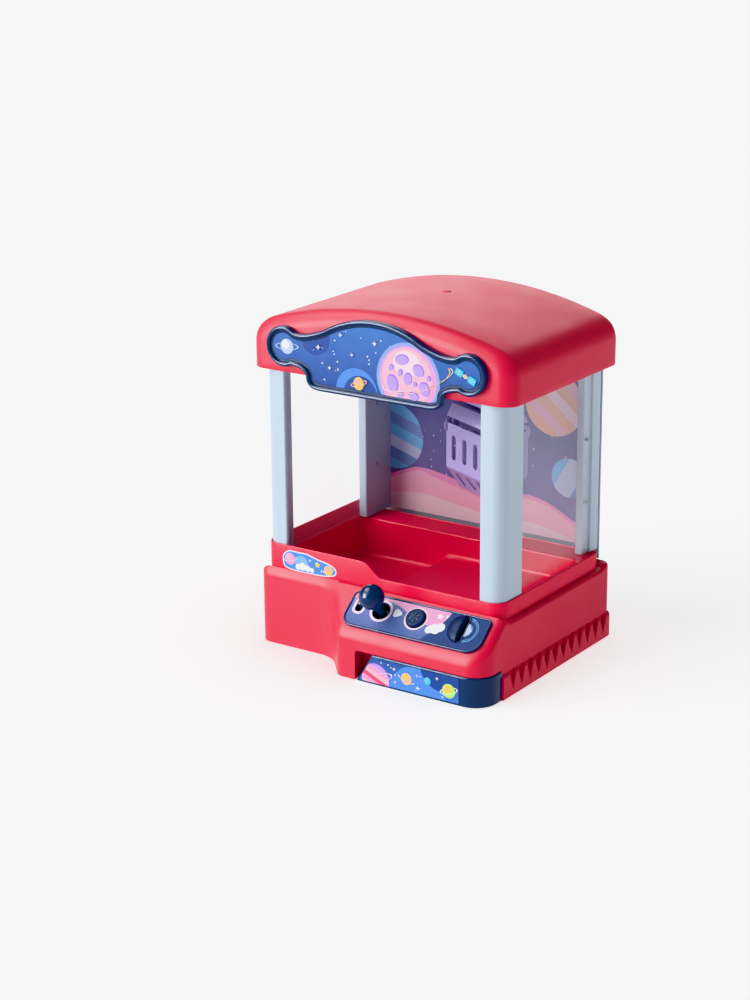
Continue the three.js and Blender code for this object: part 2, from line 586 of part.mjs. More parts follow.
// Half-round coin guide beside the slot, and the chute that drops coins into the drawer.
function coinGuide() {
  const half = new THREE.Shape();
  half.moveTo(-COIN.slot / 2, COIN.disc);
  half.absarc(-COIN.slot / 2, 0, COIN.disc, Math.PI / 2, 1.5 * Math.PI, false);
  half.closePath();
  const geometry = new THREE.ExtrudeGeometry(half, {
    depth: 2.4, bevelEnabled: true, bevelThickness: 1.4, bevelSize: 1.2, bevelOffset: -1.2, bevelSegments: 1,
    curveSegments: 8,
  });
  return solid(geometry).translate([COIN.x, COIN.v, plateTop + 1.4 + 0.2]);
}
place(panelFrame, 'coin_guide', coinGuide(), NAVY);

function coinChute() {
  const outer = box(COIN.x - 4, COIN.x + 4, COIN.v - 13.5, COIN.v + 13.5, -22, -3);
  return cut(outer, box(COIN.x - 2.2, COIN.x + 2.2, COIN.v - 12.2, COIN.v + 12.2, -24, 0));
}
place(panelFrame, 'coin_chute', coinChute(), DARK);

// ---------------------------------------------------------------- coin drawer
function drawerPlan(inset) {
  return outline([
    [DRAWER.side - inset, DRAWER.sideBack], [-40, DRAWER.sideBack], [-40, DRAWER.front + inset],
    [DRAWER.side - inset, DRAWER.front + inset, FRONT.corner + 1.3 - inset],
  ]);
}

function coinDrawer() {
  const skin = cut(prismZ(drawerPlan(0), DRAWER.bottom, DRAWER.top, 8), prismZ(drawerPlan(DRAWER.skin), 0, 40, 8));
  const face = skin.intersect(prismY(outline([
    [DRAWER.leftLow, DRAWER.bottom], [200, DRAWER.bottom], [200, DRAWER.top], [DRAWER.leftTop, DRAWER.top, 3],
  ]), -130, -70, 3));
  const w = DRAWER.wall;
  const front = DRAWER.front + DRAWER.skin - 0.6;
  const body = box(DRAWER.boxLeft, DRAWER.boxRight, front, DRAWER.boxBack, DRAWER.floor, DRAWER.boxTop);
  const hollow = box(DRAWER.boxLeft + w, DRAWER.boxRight - w, front + 2.4, DRAWER.boxBack - w,
    DRAWER.floor + w, 60);
  const corner = prismZ(drawerPlan(DRAWER.skin - 0.4), 0, 40, 8);
  return join(face, cut(body, hollow).intersect(join(corner, box(0, 126, -90, 0, 0, 40))));
}
place(machine, 'coin_drawer', coinDrawer(), NAVY);

const labelFront = DRAWER.front - GAP - 0.5;
place(machine, 'drawer_label', prismY(outline([
  [DRAWER.leftLow + 3, DRAWER.bottom + 2, 1], [109, DRAWER.bottom + 2, 1], [109, DRAWER.top - 2, 1],
  [DRAWER.leftTop + 1, DRAWER.top - 2, 2],
]), labelFront, labelFront + 0.5, 3), PRINT);

const stickerFront = TRAY.front - GAP - 0.4;
function stickerShape() {
  const shape = new THREE.Shape();
  shape.absellipse(-77, 84.5, 29, 8.6, 0, 2 * Math.PI, false);
  return shape;
}
place(machine, 'tray_sticker', prismY(stickerShape(), stickerFront, stickerFront + 0.4, 14), PRINT);

// ---------------------------------------------------------------- power and sound
const CASE = { x: 42, y0: 37, y1: 91, z0: PLATE_Z.high + GAP, z1: 36 };
function batteryCase() {
  const outer = box(-CASE.x, CASE.x, CASE.y0, CASE.y1, CASE.z0, CASE.z1);
  return cut(outer, box(-CASE.x + 1.5, CASE.x - 1.5, CASE.y0 + 1.5, CASE.y1 - 1.5, 0, CASE.z1 - 1.5));
}
place(machine, 'battery_case', batteryCase(), DARK);
for (let i = 0; i < CELL.count; i += 1) {
  const x = (i - (CELL.count - 1) / 2) * (2 * CELL.radius + 0.5);
  const middle = (CASE.y0 + CASE.y1) / 2;
  place(machine, `battery_${i + 1}`, barY(CELL.radius, middle - CELL.length / 2, middle + CELL.length / 2,
    x, CASE.z0 + CELL.radius + 1, 18), STEEL);
}
place(machine, 'speaker', turned([[0, 12], [9, 12], [9, 18], [20, 26], [20, 28], [0, 24]], 24)
  .translate([-88, -38, 0]), DARK);

// ---------------------------------------------------------------- swing drive in the roof
function gearShape(teeth, module) {
  const pitch = (module * teeth) / 2;
  const step = (2 * Math.PI) / teeth;
  const outerR = pitch + 0.9 * module;
  const rootR = pitch - 1.25 * module;
  const shape = new THREE.Shape();
  for (let i = 0; i < teeth; i += 1) {
    const middle = i * step;
    [[-0.28, rootR], [-0.1, outerR], [0.1, outerR], [0.28, rootR]].forEach(([turn, radius], k) => {
      const angle = middle + turn * step;
      const point = [radius * Math.cos(angle), radius * Math.sin(angle)];
      if (i === 0 && k === 0) shape.moveTo(...point);
      else shape.lineTo(...point);
    });
  }
  shape.closePath();
  return shape;
}

const gearDistance = (GEAR.module * (GEAR.teeth + GEAR.pinionTeeth)) / 2;
const pinionY = BOOM.pivotY + gearDistance;
function swingGear() {
  return cut(prismZ(gearShape(GEAR.teeth, GEAR.module), GEAR.z, GEAR.z + GEAR.thick),
    drum(HUB.shaft - 1 + GAP, 200, 300)).translate([-BOOM.reach, 0, 0]);
}
place(boomFrame, 'swing_gear', swingGear(), DARK);

// The pinion is turned half a tooth past the line of centres, so that it meshes with the gear.
function swingPinion() {
  const wheel = prismZ(gearShape(GEAR.pinionTeeth, GEAR.module), GEAR.z, GEAR.z + GEAR.thick);
  const bored = cut(wheel, drum(1.6, 200, 300, 0, 0, 12));
  const gearPhase = Math.PI / 2 - BOOM.yaw;
  const toothTurn = ((gearPhase * GEAR.teeth) / (2 * Math.PI)) % 1;
  const spin = ((0.5 - toothTurn) * 360) / GEAR.pinionTeeth - 90;
  return bored.rotate([0, 0, -spin - 180]).translate([0, pinionY, 0]);
}
place(machine, 'swing_pinion', swingPinion(), DARK);

function swingMotor() {
  return join(drum(11, 278, 304, 0, pinionY, 24), drum(1.3, GEAR.z, 279, 0, pinionY, 10));
}
place(machine, 'swing_motor', swingMotor(), STEEL);

function motorBracket() {
  const low = CEILING.z + CEILING.thick + GAP;
  const arch = cut(box(-20, 20, pinionY - 9, pinionY + 9, low, 277.6),
    box(-17.6, 17.6, pinionY - 12, pinionY + 12, low - 1, 275.4));
  return cut(arch, drum(2, 270, 280, 0, pinionY, 12));
}
place(machine, 'motor_bracket', motorBracket(), DARK);

// ---------------------------------------------------------------- boom, trolley and claw
function boom() {
  const pivot = -BOOM.reach;
  const beam = box(pivot, 32, -BOOM.width / 2, BOOM.width / 2, BOOM.z, BOOM.z + BOOM.height);
  const hub = drum(HUB.radius, BOOM.z - 4, CEILING.z - 1.5, pivot, 0);
  const shaft = drum(HUB.shaft, CEILING.z - 2, GEAR.z - GAP, pivot, 0);
  const spigot = drum(HUB.shaft - 1, GEAR.z - 1, GEAR.z + GEAR.thick + 2, pivot, 0);
  const endStop = box(30, 32, -BOOM.width / 2 - 2.5, BOOM.width / 2 + 2.5, BOOM.z, BOOM.z + BOOM.height);
  return join(beam, hub, shaft, spigot, endStop);
}
place(boomFrame, 'boom', boom(), PALE_BLUE);

function trolley() {
  const { bottom, top, halfX, halfY } = TROLLEY;
  const block = prismX(outline([
    [-halfY, bottom, 2], [halfY, bottom, 2], [halfY, top, 2], [-halfY, top, 2],
  ]), -halfX, halfX, 3);
  const way = box(-halfX - 1, halfX + 1, -BOOM.width / 2 - 0.4, BOOM.width / 2 + 0.4,
    BOOM.z - 0.4, BOOM.z + BOOM.height + 0.4);
  const reelBay = box(-6.5, 6.5, -6.5, 6.5, bottom - 1, BOOM.z - 0.6);
  const axleHole = barY(1.4, -20, 20, 0, DRUM.z, 10);
  return cut(block, way, reelBay, axleHole);
}
place(boomFrame, 'trolley', trolley(), PURPLE);

function winchDrum() {
  const half = DRUM.width / 2;
  const reel = join(barY(DRUM.radius - 1, -half, half, 0, DRUM.z, 16),
    barY(DRUM.radius + 0.8, -half - 1, -half, 0, DRUM.z, 16),
    barY(DRUM.radius + 0.8, half, half + 1, 0, DRUM.z, 16));
  return join(reel, barY(1.1, -15, 15, 0, DRUM.z, 10));
}
place(boomFrame, 'winch_drum', winchDrum(), DARK);

const cordTop = DRUM.z - DRUM.radius + 1 - GAP;
place(boomFrame, 'lift_cord', drum(0.8, CLAW.top + GAP, cordTop, 0, 0, 8), CORD);

function clawHead() {
  const c = CLAW;
  const cap = prismX(outline([
    [-c.halfY, c.neckTop], [c.halfY, c.neckTop], [c.capHalfY, c.top, 1.5], [-c.capHalfY, c.top, 1.5],
  ]), -c.halfX + 0.5, c.halfX - 0.5, 2);
  const neck = box(-c.halfX + 3, c.halfX - 3, -15, 15, c.faceTop - 2, c.neckTop + 1);
  const core = box(-14, 14, -11, 11, c.core, c.faceTop);
  const lugX = c.halfX - 4;
  const cheeks = [lugX, -lugX].map((x) => join(
    box(x - 1, x + 1, -c.pivotY - 0.8, c.pivotY + 0.8, c.pivotZ, c.neckTop + 1),
    barX(2.3, x - 1, x + 1, c.pivotY, c.pivotZ, 16),
    barX(2.3, x - 1, x + 1, -c.pivotY, c.pivotZ, 16)));
  const pinHoles = [-1, 1].map((s) => barX(1.4, -40, 40, s * c.pivotY, c.pivotZ, 8));
  return cut(join(cap, neck, core, ...cheeks), ...pinHoles);
}
place(boomFrame, 'claw_head', clawHead(), PURPLE);

// One jaw: slotted plate, inward-sloping scoop and two ears on the hinge pin.
function jaw(side) {
  const c = CLAW;
  const s = side;
  const slope = Math.atan2(c.halfY - c.tipY, c.faceLow - c.tipZ);
  const inward = c.skin / Math.cos(slope / 2);
  const skin = prismX(outline([
    [s * c.halfY, c.faceTop], [s * c.halfY, c.faceLow, 3], [s * c.tipY, c.tipZ],
    [s * (c.tipY - 1.2), c.tipZ + 1.6], [s * (c.halfY - c.skin), c.faceLow + inward * 0.35, 2],
    [s * (c.halfY - c.skin), c.faceTop],
  ]), -c.halfX, c.halfX, 3);
  const cheekShape = outline([
    [s * c.halfY, c.faceTop], [s * c.halfY, c.faceLow, 3], [s * c.tipY, c.tipZ],
    [s * (c.halfY - 8), c.faceLow + 2, 4], [s * (c.halfY - 6), c.pivotZ - 10],
  ]);
  const cheeks = [[c.halfX - 1.8, c.halfX], [-c.halfX, 1.8 - c.halfX]].map(([x0, x1]) => join(
    prismX(cheekShape, x0, x1, 2), barX(CLAW.ear, x0, x1, s * c.pivotY, c.pivotZ, 18)));
  const slots = SLOT.columns.flatMap((x) => [
    prismY(rectangle(x - SLOT.half, x + SLOT.half, SLOT.low, SLOT.high, SLOT.half - 0.1), -30, 30, 2),
    prismY(rectangle(x - SLOT.half + 0.6, x + SLOT.half - 0.6, SLOT.scoopLow, SLOT.scoopHigh, 2), -30, 30, 1),
  ]);
  const halfSpace = box(-40, 40, s > 0 ? 0.3 : -40, s > 0 ? 40 : -0.3, 100, 240);
  const pinHole = barX(1.4, -40, 40, s * c.pivotY, c.pivotZ, 8);
  return cut(join(cut(skin, ...slots), ...cheeks).intersect(halfSpace), pinHole);
}

[['front_jaw', -1], ['rear_jaw', 1]].forEach(([name, side]) => {
  place(boomFrame, name, jaw(side), PURPLE);
  const reach = CLAW.halfX + 1;
  const y = side * CLAW.pivotY;
  place(boomFrame, `${name}_pin`, join(barX(1.1, -reach, reach, y, CLAW.pivotZ, 10),
    barX(2.8, reach - 0.4, reach + 2, y, CLAW.pivotZ, 14), barX(2.8, -reach - 2, -reach + 0.4, y, CLAW.pivotZ, 14)),
  PURPLE);
});

export default machine;
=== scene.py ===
"""The looks of a table-top toy claw machine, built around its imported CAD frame.

Shapes are drawn in millimetres in the machine's own axes (X to the player's right, Y towards the
back, Z up) and turned into metres once, when a mesh is made.
"""
from contextlib import contextmanager
from types import SimpleNamespace as Sizes
import json
import math
import random

import bmesh
import bpy
from mathutils import Matrix, Vector


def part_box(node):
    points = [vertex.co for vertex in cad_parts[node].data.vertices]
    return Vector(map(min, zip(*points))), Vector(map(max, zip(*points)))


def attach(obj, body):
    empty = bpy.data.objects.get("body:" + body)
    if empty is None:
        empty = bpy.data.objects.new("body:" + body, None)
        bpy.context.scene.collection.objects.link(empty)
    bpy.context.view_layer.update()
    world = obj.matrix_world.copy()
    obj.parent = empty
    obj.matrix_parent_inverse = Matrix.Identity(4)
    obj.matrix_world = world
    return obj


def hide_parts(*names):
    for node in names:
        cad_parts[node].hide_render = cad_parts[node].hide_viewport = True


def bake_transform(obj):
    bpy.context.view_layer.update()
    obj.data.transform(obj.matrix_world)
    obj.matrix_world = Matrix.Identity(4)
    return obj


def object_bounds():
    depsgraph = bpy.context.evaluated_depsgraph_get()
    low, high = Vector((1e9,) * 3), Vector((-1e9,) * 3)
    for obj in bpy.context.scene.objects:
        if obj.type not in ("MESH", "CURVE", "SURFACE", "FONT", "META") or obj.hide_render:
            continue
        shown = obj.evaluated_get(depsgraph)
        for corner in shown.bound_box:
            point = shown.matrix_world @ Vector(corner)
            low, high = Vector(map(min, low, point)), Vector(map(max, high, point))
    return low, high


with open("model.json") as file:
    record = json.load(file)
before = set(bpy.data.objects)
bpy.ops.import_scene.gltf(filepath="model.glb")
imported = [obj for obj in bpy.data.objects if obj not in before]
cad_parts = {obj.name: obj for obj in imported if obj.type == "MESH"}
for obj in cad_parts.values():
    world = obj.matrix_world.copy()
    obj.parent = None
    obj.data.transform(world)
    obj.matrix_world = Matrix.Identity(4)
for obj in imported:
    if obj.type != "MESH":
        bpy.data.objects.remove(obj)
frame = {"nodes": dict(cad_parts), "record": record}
CAD_LOW, CAD_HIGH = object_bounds()
NODES = frame["nodes"]
BODIES = frame["record"]["behaviour"]["bodies"]
SLOT_OF = {row["node"]: row["material_slot"] for row in frame["record"]["subparts"]}

MM = 0.001
ROOF_BACK = 113.0
SHIFT_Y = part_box("roof_shell")[1].y / MM - ROOF_BACK

# ---------- sizes, in millimetres
BASE = Sizes(half=133.0, back=112.0, rear_round=9.0, bottom=0.8, deck=69.0, ledge=73.0, shoulder=76.8,
             wall=2.5, dip_start=-77.5, dip_run=6.5, rise_start=97.5, rise_run=2.0)
EDGE = Sizes(nose=7.6, nose_gain=1.0, nose_from=-45.0, nose_run=65.0, side=3.6, side_gain=3.2,
             side_from=-40.0, side_run=36.0, housing_from=-72.0, housing_run=8.0)
DECK_OPENING = Sizes(half=123.6, front=-72.6, back=71.6)
FRONT = Sizes(recess=-80.0, face=-113.5, sweep_top=-49.5, sweep_end=-20.0, recess_round=12.0,
              sweep_round=32.0, cheek_round=10.0, nose_round=20.0)
NOTCH = Sizes(first=-82.0, pitch=14.7, count=14, foot=6.5, top=24.5, lead=9.0, leaf=1.2, lag=6.5,
              front_left=-60.0, front_right=-84.0)
SLOPE = Sizes(angle=math.radians(40), y=-80.0, z=73.5)
TRAY = Sizes(half=127.5, front=-75.5, back=97.5, low=85.0, high=98.0, ledge=84.0, lip=1.2,
             basin=121.0, basin_front=-70.0, basin_back=69.0, play=60.0, well=46.0,
             well_edge=-20.0, well_foot=-36.0, step_start=-18.0, step_end=2.0, rear_dip=82.0,
             dip_run=4.0, outer_corner=13.0, rear_corner=6.0, basin_corner=8.0, foot_inset=2.4)
ROOF = Sizes(half=137.5, front=-78.8, back=ROOF_BACK, low=263.0, eave=286.0, peak=328.0,
             arch=390.0, shoulder=118.0, fillet=15.0, wall=2.5)
MARQUEE = Sizes(front=-84.0, back=-79.2, ear_x=96.5, ear_z=287.8, ear=18.6, crown=322.5,
                crown_radius=102.0, crown_half=52.0, valley_x=76.0, valley_top=298.5,
                valley_low=269.6, lens=72.0, corner=16.0, chin=252.0, bead=2.1, label_inset=6.5)
PLATE = Sizes(left=-20.0, right=124.0, top=-2.0, low=-38.5, bead=0.95)
STICK = Sizes(x=14.7, v=-17.7, hole=8.5, ball=11.5, ball_z=25.0)
BUTTON = Sizes(x=51.5, v=-17.5, radius=9.2, top=5.0, edge=1.6)
SWITCH = Sizes(x=-8.5, v=-17.0, half_x=3.5, half_v=6.0)
COIN = Sizes(x=101.0, v=-17.5, slot=3.2, length=24.0, disc=14.0)
DRAWER = Sizes(top=28.5, low=1.2, front=-114.8, side=134.0, side_back=-84.0, left_top=18.0,
               left_low=1.0, skin=2.4, corner=21.3, edge=1.3, box_left=24.0, box_right=122.0,
               box_back=-52.0, box_top=25.0, box_wall=1.6, floor=4.8, pocket=-1.5)
FRONT_POST = Sizes(x=126.0, y=-74.0, wall=4.5, corner=12.5, wing_x=22.3, wing_y=35.6, foot=84.3)
REAR_POST = Sizes(face=119.0, step=90.8, flange=121.5, back=107.0, foot=85.3,
                  left=(110.0, 64.0), right=(111.5, 80.0))      # the inner side and front of each
POST_TOP = 263.7
PANEL_OUTSIDE = 121.0
CORD_RADIUS = 0.5
PRINT_STEP = 0.03                     # each printed layer stands this proud of the one below
PRINT_ROOT = -0.02                    # and starts this far inside the sheet
WELD = 2e-6                           # metres; points nearer than this become one

# ---------- sizes of noise in the materials, in patches to the metre
COLOUR_PATCHES = 18
GLOSS_PATCHES = 25
PRINT_PATCHES = 55
INK_GLOSS_PATCHES = 90
WAVES = 30
GRAIN = 900

# ---------- light, floor and camera
LIGHT = Sizes(world=0.30, paper_glow=0.75, wall_glow=1.6, key=2.8, front=15.0, front_sheen=140.0,
              top_sheen=50.0, back_sheen=42.0)
FLOOR_REACH = 12.0                    # metres
WALL_HEIGHT = 9.0                     # metres
CAMERA = Sizes(azimuth=34.5, elevation=17.65, roll=-0.47, target=(-30.14, -37.9, 143.88),
               distance=2055.24, lens=81.58, sensor=36.0)


# ---------- materials
def new_material(name):
    material = bpy.data.materials.new(name)
    material.use_nodes = True
    tree = material.node_tree
    return material, tree, tree.nodes["Principled BSDF"]


def set_inputs(node, **values):
    """Sets a node's inputs; a _ in a name stands for a space."""
    for name, value in values.items():
        node.inputs[name.replace("_", " ")].default_value = value


def noise(tree, scale, detail=2.0):
    where = tree.nodes.new("ShaderNodeTexCoord")
    texture = tree.nodes.new("ShaderNodeTexNoise")
    set_inputs(texture, Scale=scale, Detail=detail)
    tree.links.new(where.outputs["Object"], texture.inputs["Vector"])
    return texture.outputs["Fac"]


def spread(tree, value, low, high):
    """Maps a noise value from its usual 0.3 to 0.7 onto low to high."""
    node = tree.nodes.new("ShaderNodeMapRange")
    set_inputs(node, From_Min=0.3, From_Max=0.7, To_Min=low, To_Max=high)
    tree.links.new(value, node.inputs["Value"])
    return node.outputs["Result"]


def mixed(tree, first, second, factor):
    """The colour between two others that a factor from 0 to 1 picks."""
    blend = tree.nodes.new("ShaderNodeMix")
    blend.data_type = "RGBA"
    set_inputs(blend, A=(*first, 1), B=(*second, 1))
    tree.links.new(factor, blend.inputs["Factor"])
    return blend.outputs["Result"]


def varied_colour(tree, colour, amount, scale):
    darker = [c * (1 - amount) for c in colour]
    lighter = [min(1, c * (1 + amount)) for c in colour]
    return mixed(tree, darker, lighter, noise(tree, scale))


def bump(tree, shader, grain, grain_depth, wave_depth):
    """Fine moulded grain over a slow waviness; depths in metres."""
    below = None
    for scale, depth in ((WAVES, wave_depth), (grain, grain_depth)):
        node = tree.nodes.new("ShaderNodeBump")
        set_inputs(node, Strength=1.0, Distance=depth)
        tree.links.new(noise(tree, scale), node.inputs["Height"])
        if below:
            tree.links.new(below, node.inputs["Normal"])
        below = node.outputs["Normal"]
    tree.links.new(below, shader.inputs["Normal"])


def plastic(name, colour, roughness=0.3, vary=0.03, grain=GRAIN, grain_depth=1.5e-6, wave_depth=1e-5,
            shine=0.5, coat=0.0, metallic=0.0, alpha=1.0):
    material, tree, shader = new_material(name)
    tree.links.new(varied_colour(tree, colour, vary, COLOUR_PATCHES), shader.inputs["Base Color"])
    rough = spread(tree, noise(tree, GLOSS_PATCHES), roughness * 0.93, roughness * 1.08)
    tree.links.new(rough, shader.inputs["Roughness"])
    set_inputs(shader, Specular_IOR_Level=shine, Metallic=metallic, Coat_Weight=coat,
               Coat_Roughness=0.06, Alpha=alpha)
    bump(tree, shader, grain, grain_depth, wave_depth)
    return material


def graded_ink(name, low_colour, high_colour, low, high, roughness=0.5):
    """Printed ink that shades from one colour to another between two heights in metres."""
    material, tree, shader = new_material(name)
    where = tree.nodes.new("ShaderNodeTexCoord")
    split_place = tree.nodes.new("ShaderNodeSeparateXYZ")
    tree.links.new(where.outputs["Object"], split_place.inputs["Vector"])
    ramp = tree.nodes.new("ShaderNodeMapRange")
    set_inputs(ramp, From_Min=low, From_Max=high)
    tree.links.new(split_place.outputs["Z"], ramp.inputs["Value"])
    total = tree.nodes.new("ShaderNodeMath")
    total.operation = "ADD"
    total.use_clamp = True
    tree.links.new(ramp.outputs["Result"], total.inputs[0])
    mottle = spread(tree, noise(tree, PRINT_PATCHES, 3), -0.08, 0.08)
    tree.links.new(mottle, total.inputs[1])
    colour = mixed(tree, low_colour, high_colour, total.outputs["Value"])
    tree.links.new(colour, shader.inputs["Base Color"])
    rough = spread(tree, noise(tree, INK_GLOSS_PATCHES), roughness * 0.85, roughness * 1.15)
    tree.links.new(rough, shader.inputs["Roughness"])
    set_inputs(shader, Specular_IOR_Level=0.15)
    bump(tree, shader, GRAIN, 1e-6, 8e-6)
    return material


def ink(name, *colour):
    return plastic("ink_" + name, colour, 0.5, vary=0.05, shine=0.15, grain_depth=1e-6, wave_depth=8e-6)


RED = plastic("red_plastic", (0.62, 0.011, 0.050), 0.44, vary=0.015, shine=0.32, wave_depth=4e-6)
TRAY_RED = plastic("glossy_red_plastic", (0.76, 0.007, 0.056), 0.30, vary=0.015, shine=0.22,
                   wave_depth=3e-6)
PALE = plastic("pale_blue_plastic", (0.42, 0.51, 0.61), 0.3, vary=0.008, grain_depth=8e-7,
               wave_depth=4e-6)
NAVY = plastic("navy_plastic", (0.004, 0.026, 0.095), 0.22, vary=0.03, shine=0.3, coat=0.05,
               wave_depth=5e-6)
# the button star's rays: the cap's navy plastic made lighter, a painted highlight
NAVY_PAINTED_HIGHLIGHT = plastic("navy_plastic_painted_highlight", (0.02, 0.06, 0.17), 0.3, shine=0.5)
SATIN_NAVY = plastic("satin_navy_plastic", (0.003, 0.018, 0.072), 0.42, vary=0.03, shine=0.14,
                     wave_depth=4e-6)
PURPLE = plastic("purple_plastic", (0.33, 0.26, 0.52), 0.36, vary=0.02)
CLEAR = plastic("clear_plastic", (0.88, 0.91, 0.95), 0.05, vary=0.01, shine=0.35, alpha=0.11,
                grain_depth=1e-7, wave_depth=1e-6)
DARK = plastic("dark_plastic", (0.022, 0.024, 0.030), 0.5, grain_depth=1e-5)
RUBBER = plastic("black_rubber", (0.025, 0.025, 0.026), 0.8, grain_depth=1.5e-5)
CIRCUIT = plastic("circuit_board_green", (0.02, 0.16, 0.07), 0.35)
STEEL = plastic("plated_steel", (0.42, 0.42, 0.44), 0.42, metallic=1.0)
CORD = plastic("cord_fibre", (0.74, 0.71, 0.64), 0.8, grain=1500, grain_depth=5e-5)
BY_SLOT = {
    "red_plastic": RED, "pale_blue_plastic": PALE, "navy_plastic": NAVY, "purple_plastic": PURPLE,
    "clear_plastic": CLEAR, "dark_plastic": DARK, "rubber": RUBBER, "circuit": CIRCUIT,
    "steel": STEEL, "cord": CORD, "printed_label": NAVY, "printed_card": PALE,
}
WHITE_INK = ink("white", 0.86, 0.88, 0.93)
PINK_INK = ink("pink", 0.86, 0.36, 0.62)
ROSE_INK = ink("rose", 0.90, 0.52, 0.66)
RIBBON_INK = ink("ribbon_pink", 0.74, 0.34, 0.56)
LILAC_INK = ink("lilac", 0.50, 0.34, 0.80)
VIOLET_INK = ink("violet", 0.30, 0.16, 0.60)
BLUE_INK = ink("blue", 0.07, 0.24, 0.68)
SKY_INK = ink("sky", 0.22, 0.52, 0.86)
DEEP_INK = ink("deep_blue", 0.020, 0.060, 0.26)
NIGHT_INK = ink("night_blue", 0.012, 0.038, 0.15)
TEAL_INK = ink("teal", 0.05, 0.55, 0.72)
YELLOW_INK = ink("yellow", 0.92, 0.62, 0.10)
PEACH_INK = ink("peach", 0.90, 0.52, 0.38)
GREEN_INK = ink("green", 0.42, 0.74, 0.16)
RED_INK = ink("red", 0.80, 0.06, 0.16)
LIGHT_INK = ink("light_blue", 0.52, 0.62, 0.84)
BLUSH_INK = ink("blush", 0.90, 0.70, 0.78)
HAZE_INK = ink("haze_blue", 0.22, 0.34, 0.66)


# ---------- outlines
def arc(cx, cy, radius, start, end, steps):
    """Points of an arc, angles in degrees."""
    angles = [math.radians(start + (end - start) * i / steps) for i in range(steps + 1)]
    return [(cx + radius * math.cos(a), cy + radius * math.sin(a)) for a in angles]


def rounding(steps, sweep=90):
    """How far in and how far down the points of a rounded edge are, as shares of its radius."""
    turns = [math.radians(sweep * k / steps) for k in range(steps + 1)]
    return [(1 - math.cos(turn), 1 - math.sin(turn)) for turn in turns]


def curve(start, control, end, steps):
    """Points of a quadratic curve."""
    result = []
    for i in range(steps + 1):
        t = i / steps
        weights = ((1 - t) ** 2, 2 * t * (1 - t), t ** 2)
        result.append(tuple(
            weights[0] * s + weights[1] * c + weights[2] * e for s, c, e in zip(start, control, end)))
    return result


def rounded(corners, steps=10, pitch=6.0):
    """A closed outline whose corners (x, y, radius) are arcs, with its straights split to a pitch."""
    path = []
    count = len(corners)
    for i, (x, y, radius) in enumerate(corners):
        here = Vector((x, y))
        before = (Vector(corners[i - 1][:2]) - here).normalized()
        after = (Vector(corners[(i + 1) % count][:2]) - here).normalized()
        half = before.angle(after) / 2
        start = here + before * (radius / math.tan(half))
        centre = here + (before + after).normalized() * (radius / math.sin(half))
        first = math.atan2(start.y - centre.y, start.x - centre.x)
        turn = math.pi - 2 * half
        if before.x * after.y - before.y * after.x > 0:
            turn = -turn
        for k in range(steps + 1):
            angle = first + turn * k / steps
            path.append((centre.x + radius * math.cos(angle), centre.y + radius * math.sin(angle)))
    return split_long(path, pitch)


def split_long(path, pitch):
    """Adds points to an outline so that no side is longer than the pitch."""
    result = []
    for i, (x, y) in enumerate(path):
        nx, ny = path[(i + 1) % len(path)]
        parts = max(1, math.ceil(math.hypot(nx - x, ny - y) / pitch))
        result += [(x + (nx - x) * k / parts, y + (ny - y) * k / parts) for k in range(parts)]
    return result


def rectangle(x0, x1, y0, y1, radius=0.5, steps=8, pitch=6.0):
    return rounded([(x0, y0, radius), (x1, y0, radius), (x1, y1, radius), (x0, y1, radius)], steps, pitch)


def turned(path, lean, x=0.0, y=0.0):
    """The outline turned by some degrees and then moved to a place."""
    c, s = math.cos(math.radians(lean)), math.sin(math.radians(lean))
    return [(x + px * c - py * s, y + px * s + py * c) for px, py in path]


def mirrored(path):
    return [(-x, y) for x, y in reversed(path)]


def inset(path, distance):
    """The outline moved inwards; distance is one number or one for each point. Runs anticlockwise."""
    count = len(path)
    result = []
    for i, (x, y) in enumerate(path):
        before = Vector((x, y)) - Vector(path[i - 1])
        after = Vector(path[(i + 1) % count]) - Vector((x, y))
        n1 = Vector((-before.y, before.x)).normalized()
        n2 = Vector((-after.y, after.x)).normalized()
        middle = (n1 + n2).normalized()
        reach = distance if isinstance(distance, (int, float)) else distance[i]
        scale = reach / max(0.4, middle.dot(n1))
        result.append((x + middle.x * scale, y + middle.y * scale))
    return result


def smoothed(path, times=2):
    """Rounds an outline by cutting its corners."""
    for _ in range(times):
        result = []
        for i, (x, y) in enumerate(path):
            nx, ny = path[(i + 1) % len(path)]
            result.append((x * 0.78 + nx * 0.22, y * 0.78 + ny * 0.22))
            result.append((x * 0.22 + nx * 0.78, y * 0.22 + ny * 0.78))
        path = result
    return path


def eased(t):
    """A smooth rise from 0 to 1 as t goes from 0 to 1."""
    t = max(0.0, min(1.0, t))
    return t * t * (3 - 2 * t)


# ---------- meshes
def at_height(path, z):
    """An outline as a ring of points, all at one height."""
    return [(x, y, z) for x, y in path]


def band_faces(first, second, count, wrap=True):
    """Quads between two rows of count points that start at these numbers."""
    pairs = [(i, (i + 1) % count) for i in range(count if wrap else count - 1)]
    return [(first + i, first + k, second + k, second + i) for i, k in pairs]


def loft(rings, wrap=True, capped=(True, True)):
    """Points and faces of a body skinned over rings that have the same number of points."""
    count = len(rings[0])
    points = [p for ring in rings for p in ring]
    faces = []
    for i in range(len(rings) - 1):
        faces += band_faces(i * count, (i + 1) * count, count, wrap)
    if capped[0]:
        faces.append(tuple(reversed(range(count))))
    if capped[1]:
        start = (len(rings) - 1) * count
        faces.append(tuple(range(start, start + count)))
    return points, faces


def closed_strip(rows):
    """Points and faces of a bar whose last row joins its first."""
    width = len(rows[0])
    points = [p for row in rows for p in row]
    faces = []
    for i in range(len(rows)):
        faces += band_faces(i * width, ((i + 1) % len(rows)) * width, width)
    return points, faces


def joined(bodies):
    """Points and faces of several bodies as one."""
    points, faces = [], []
    for more, sides in bodies:
        start = len(points)
        points += more
        faces += [tuple(start + k for k in side) for side in sides]
    return points, faces


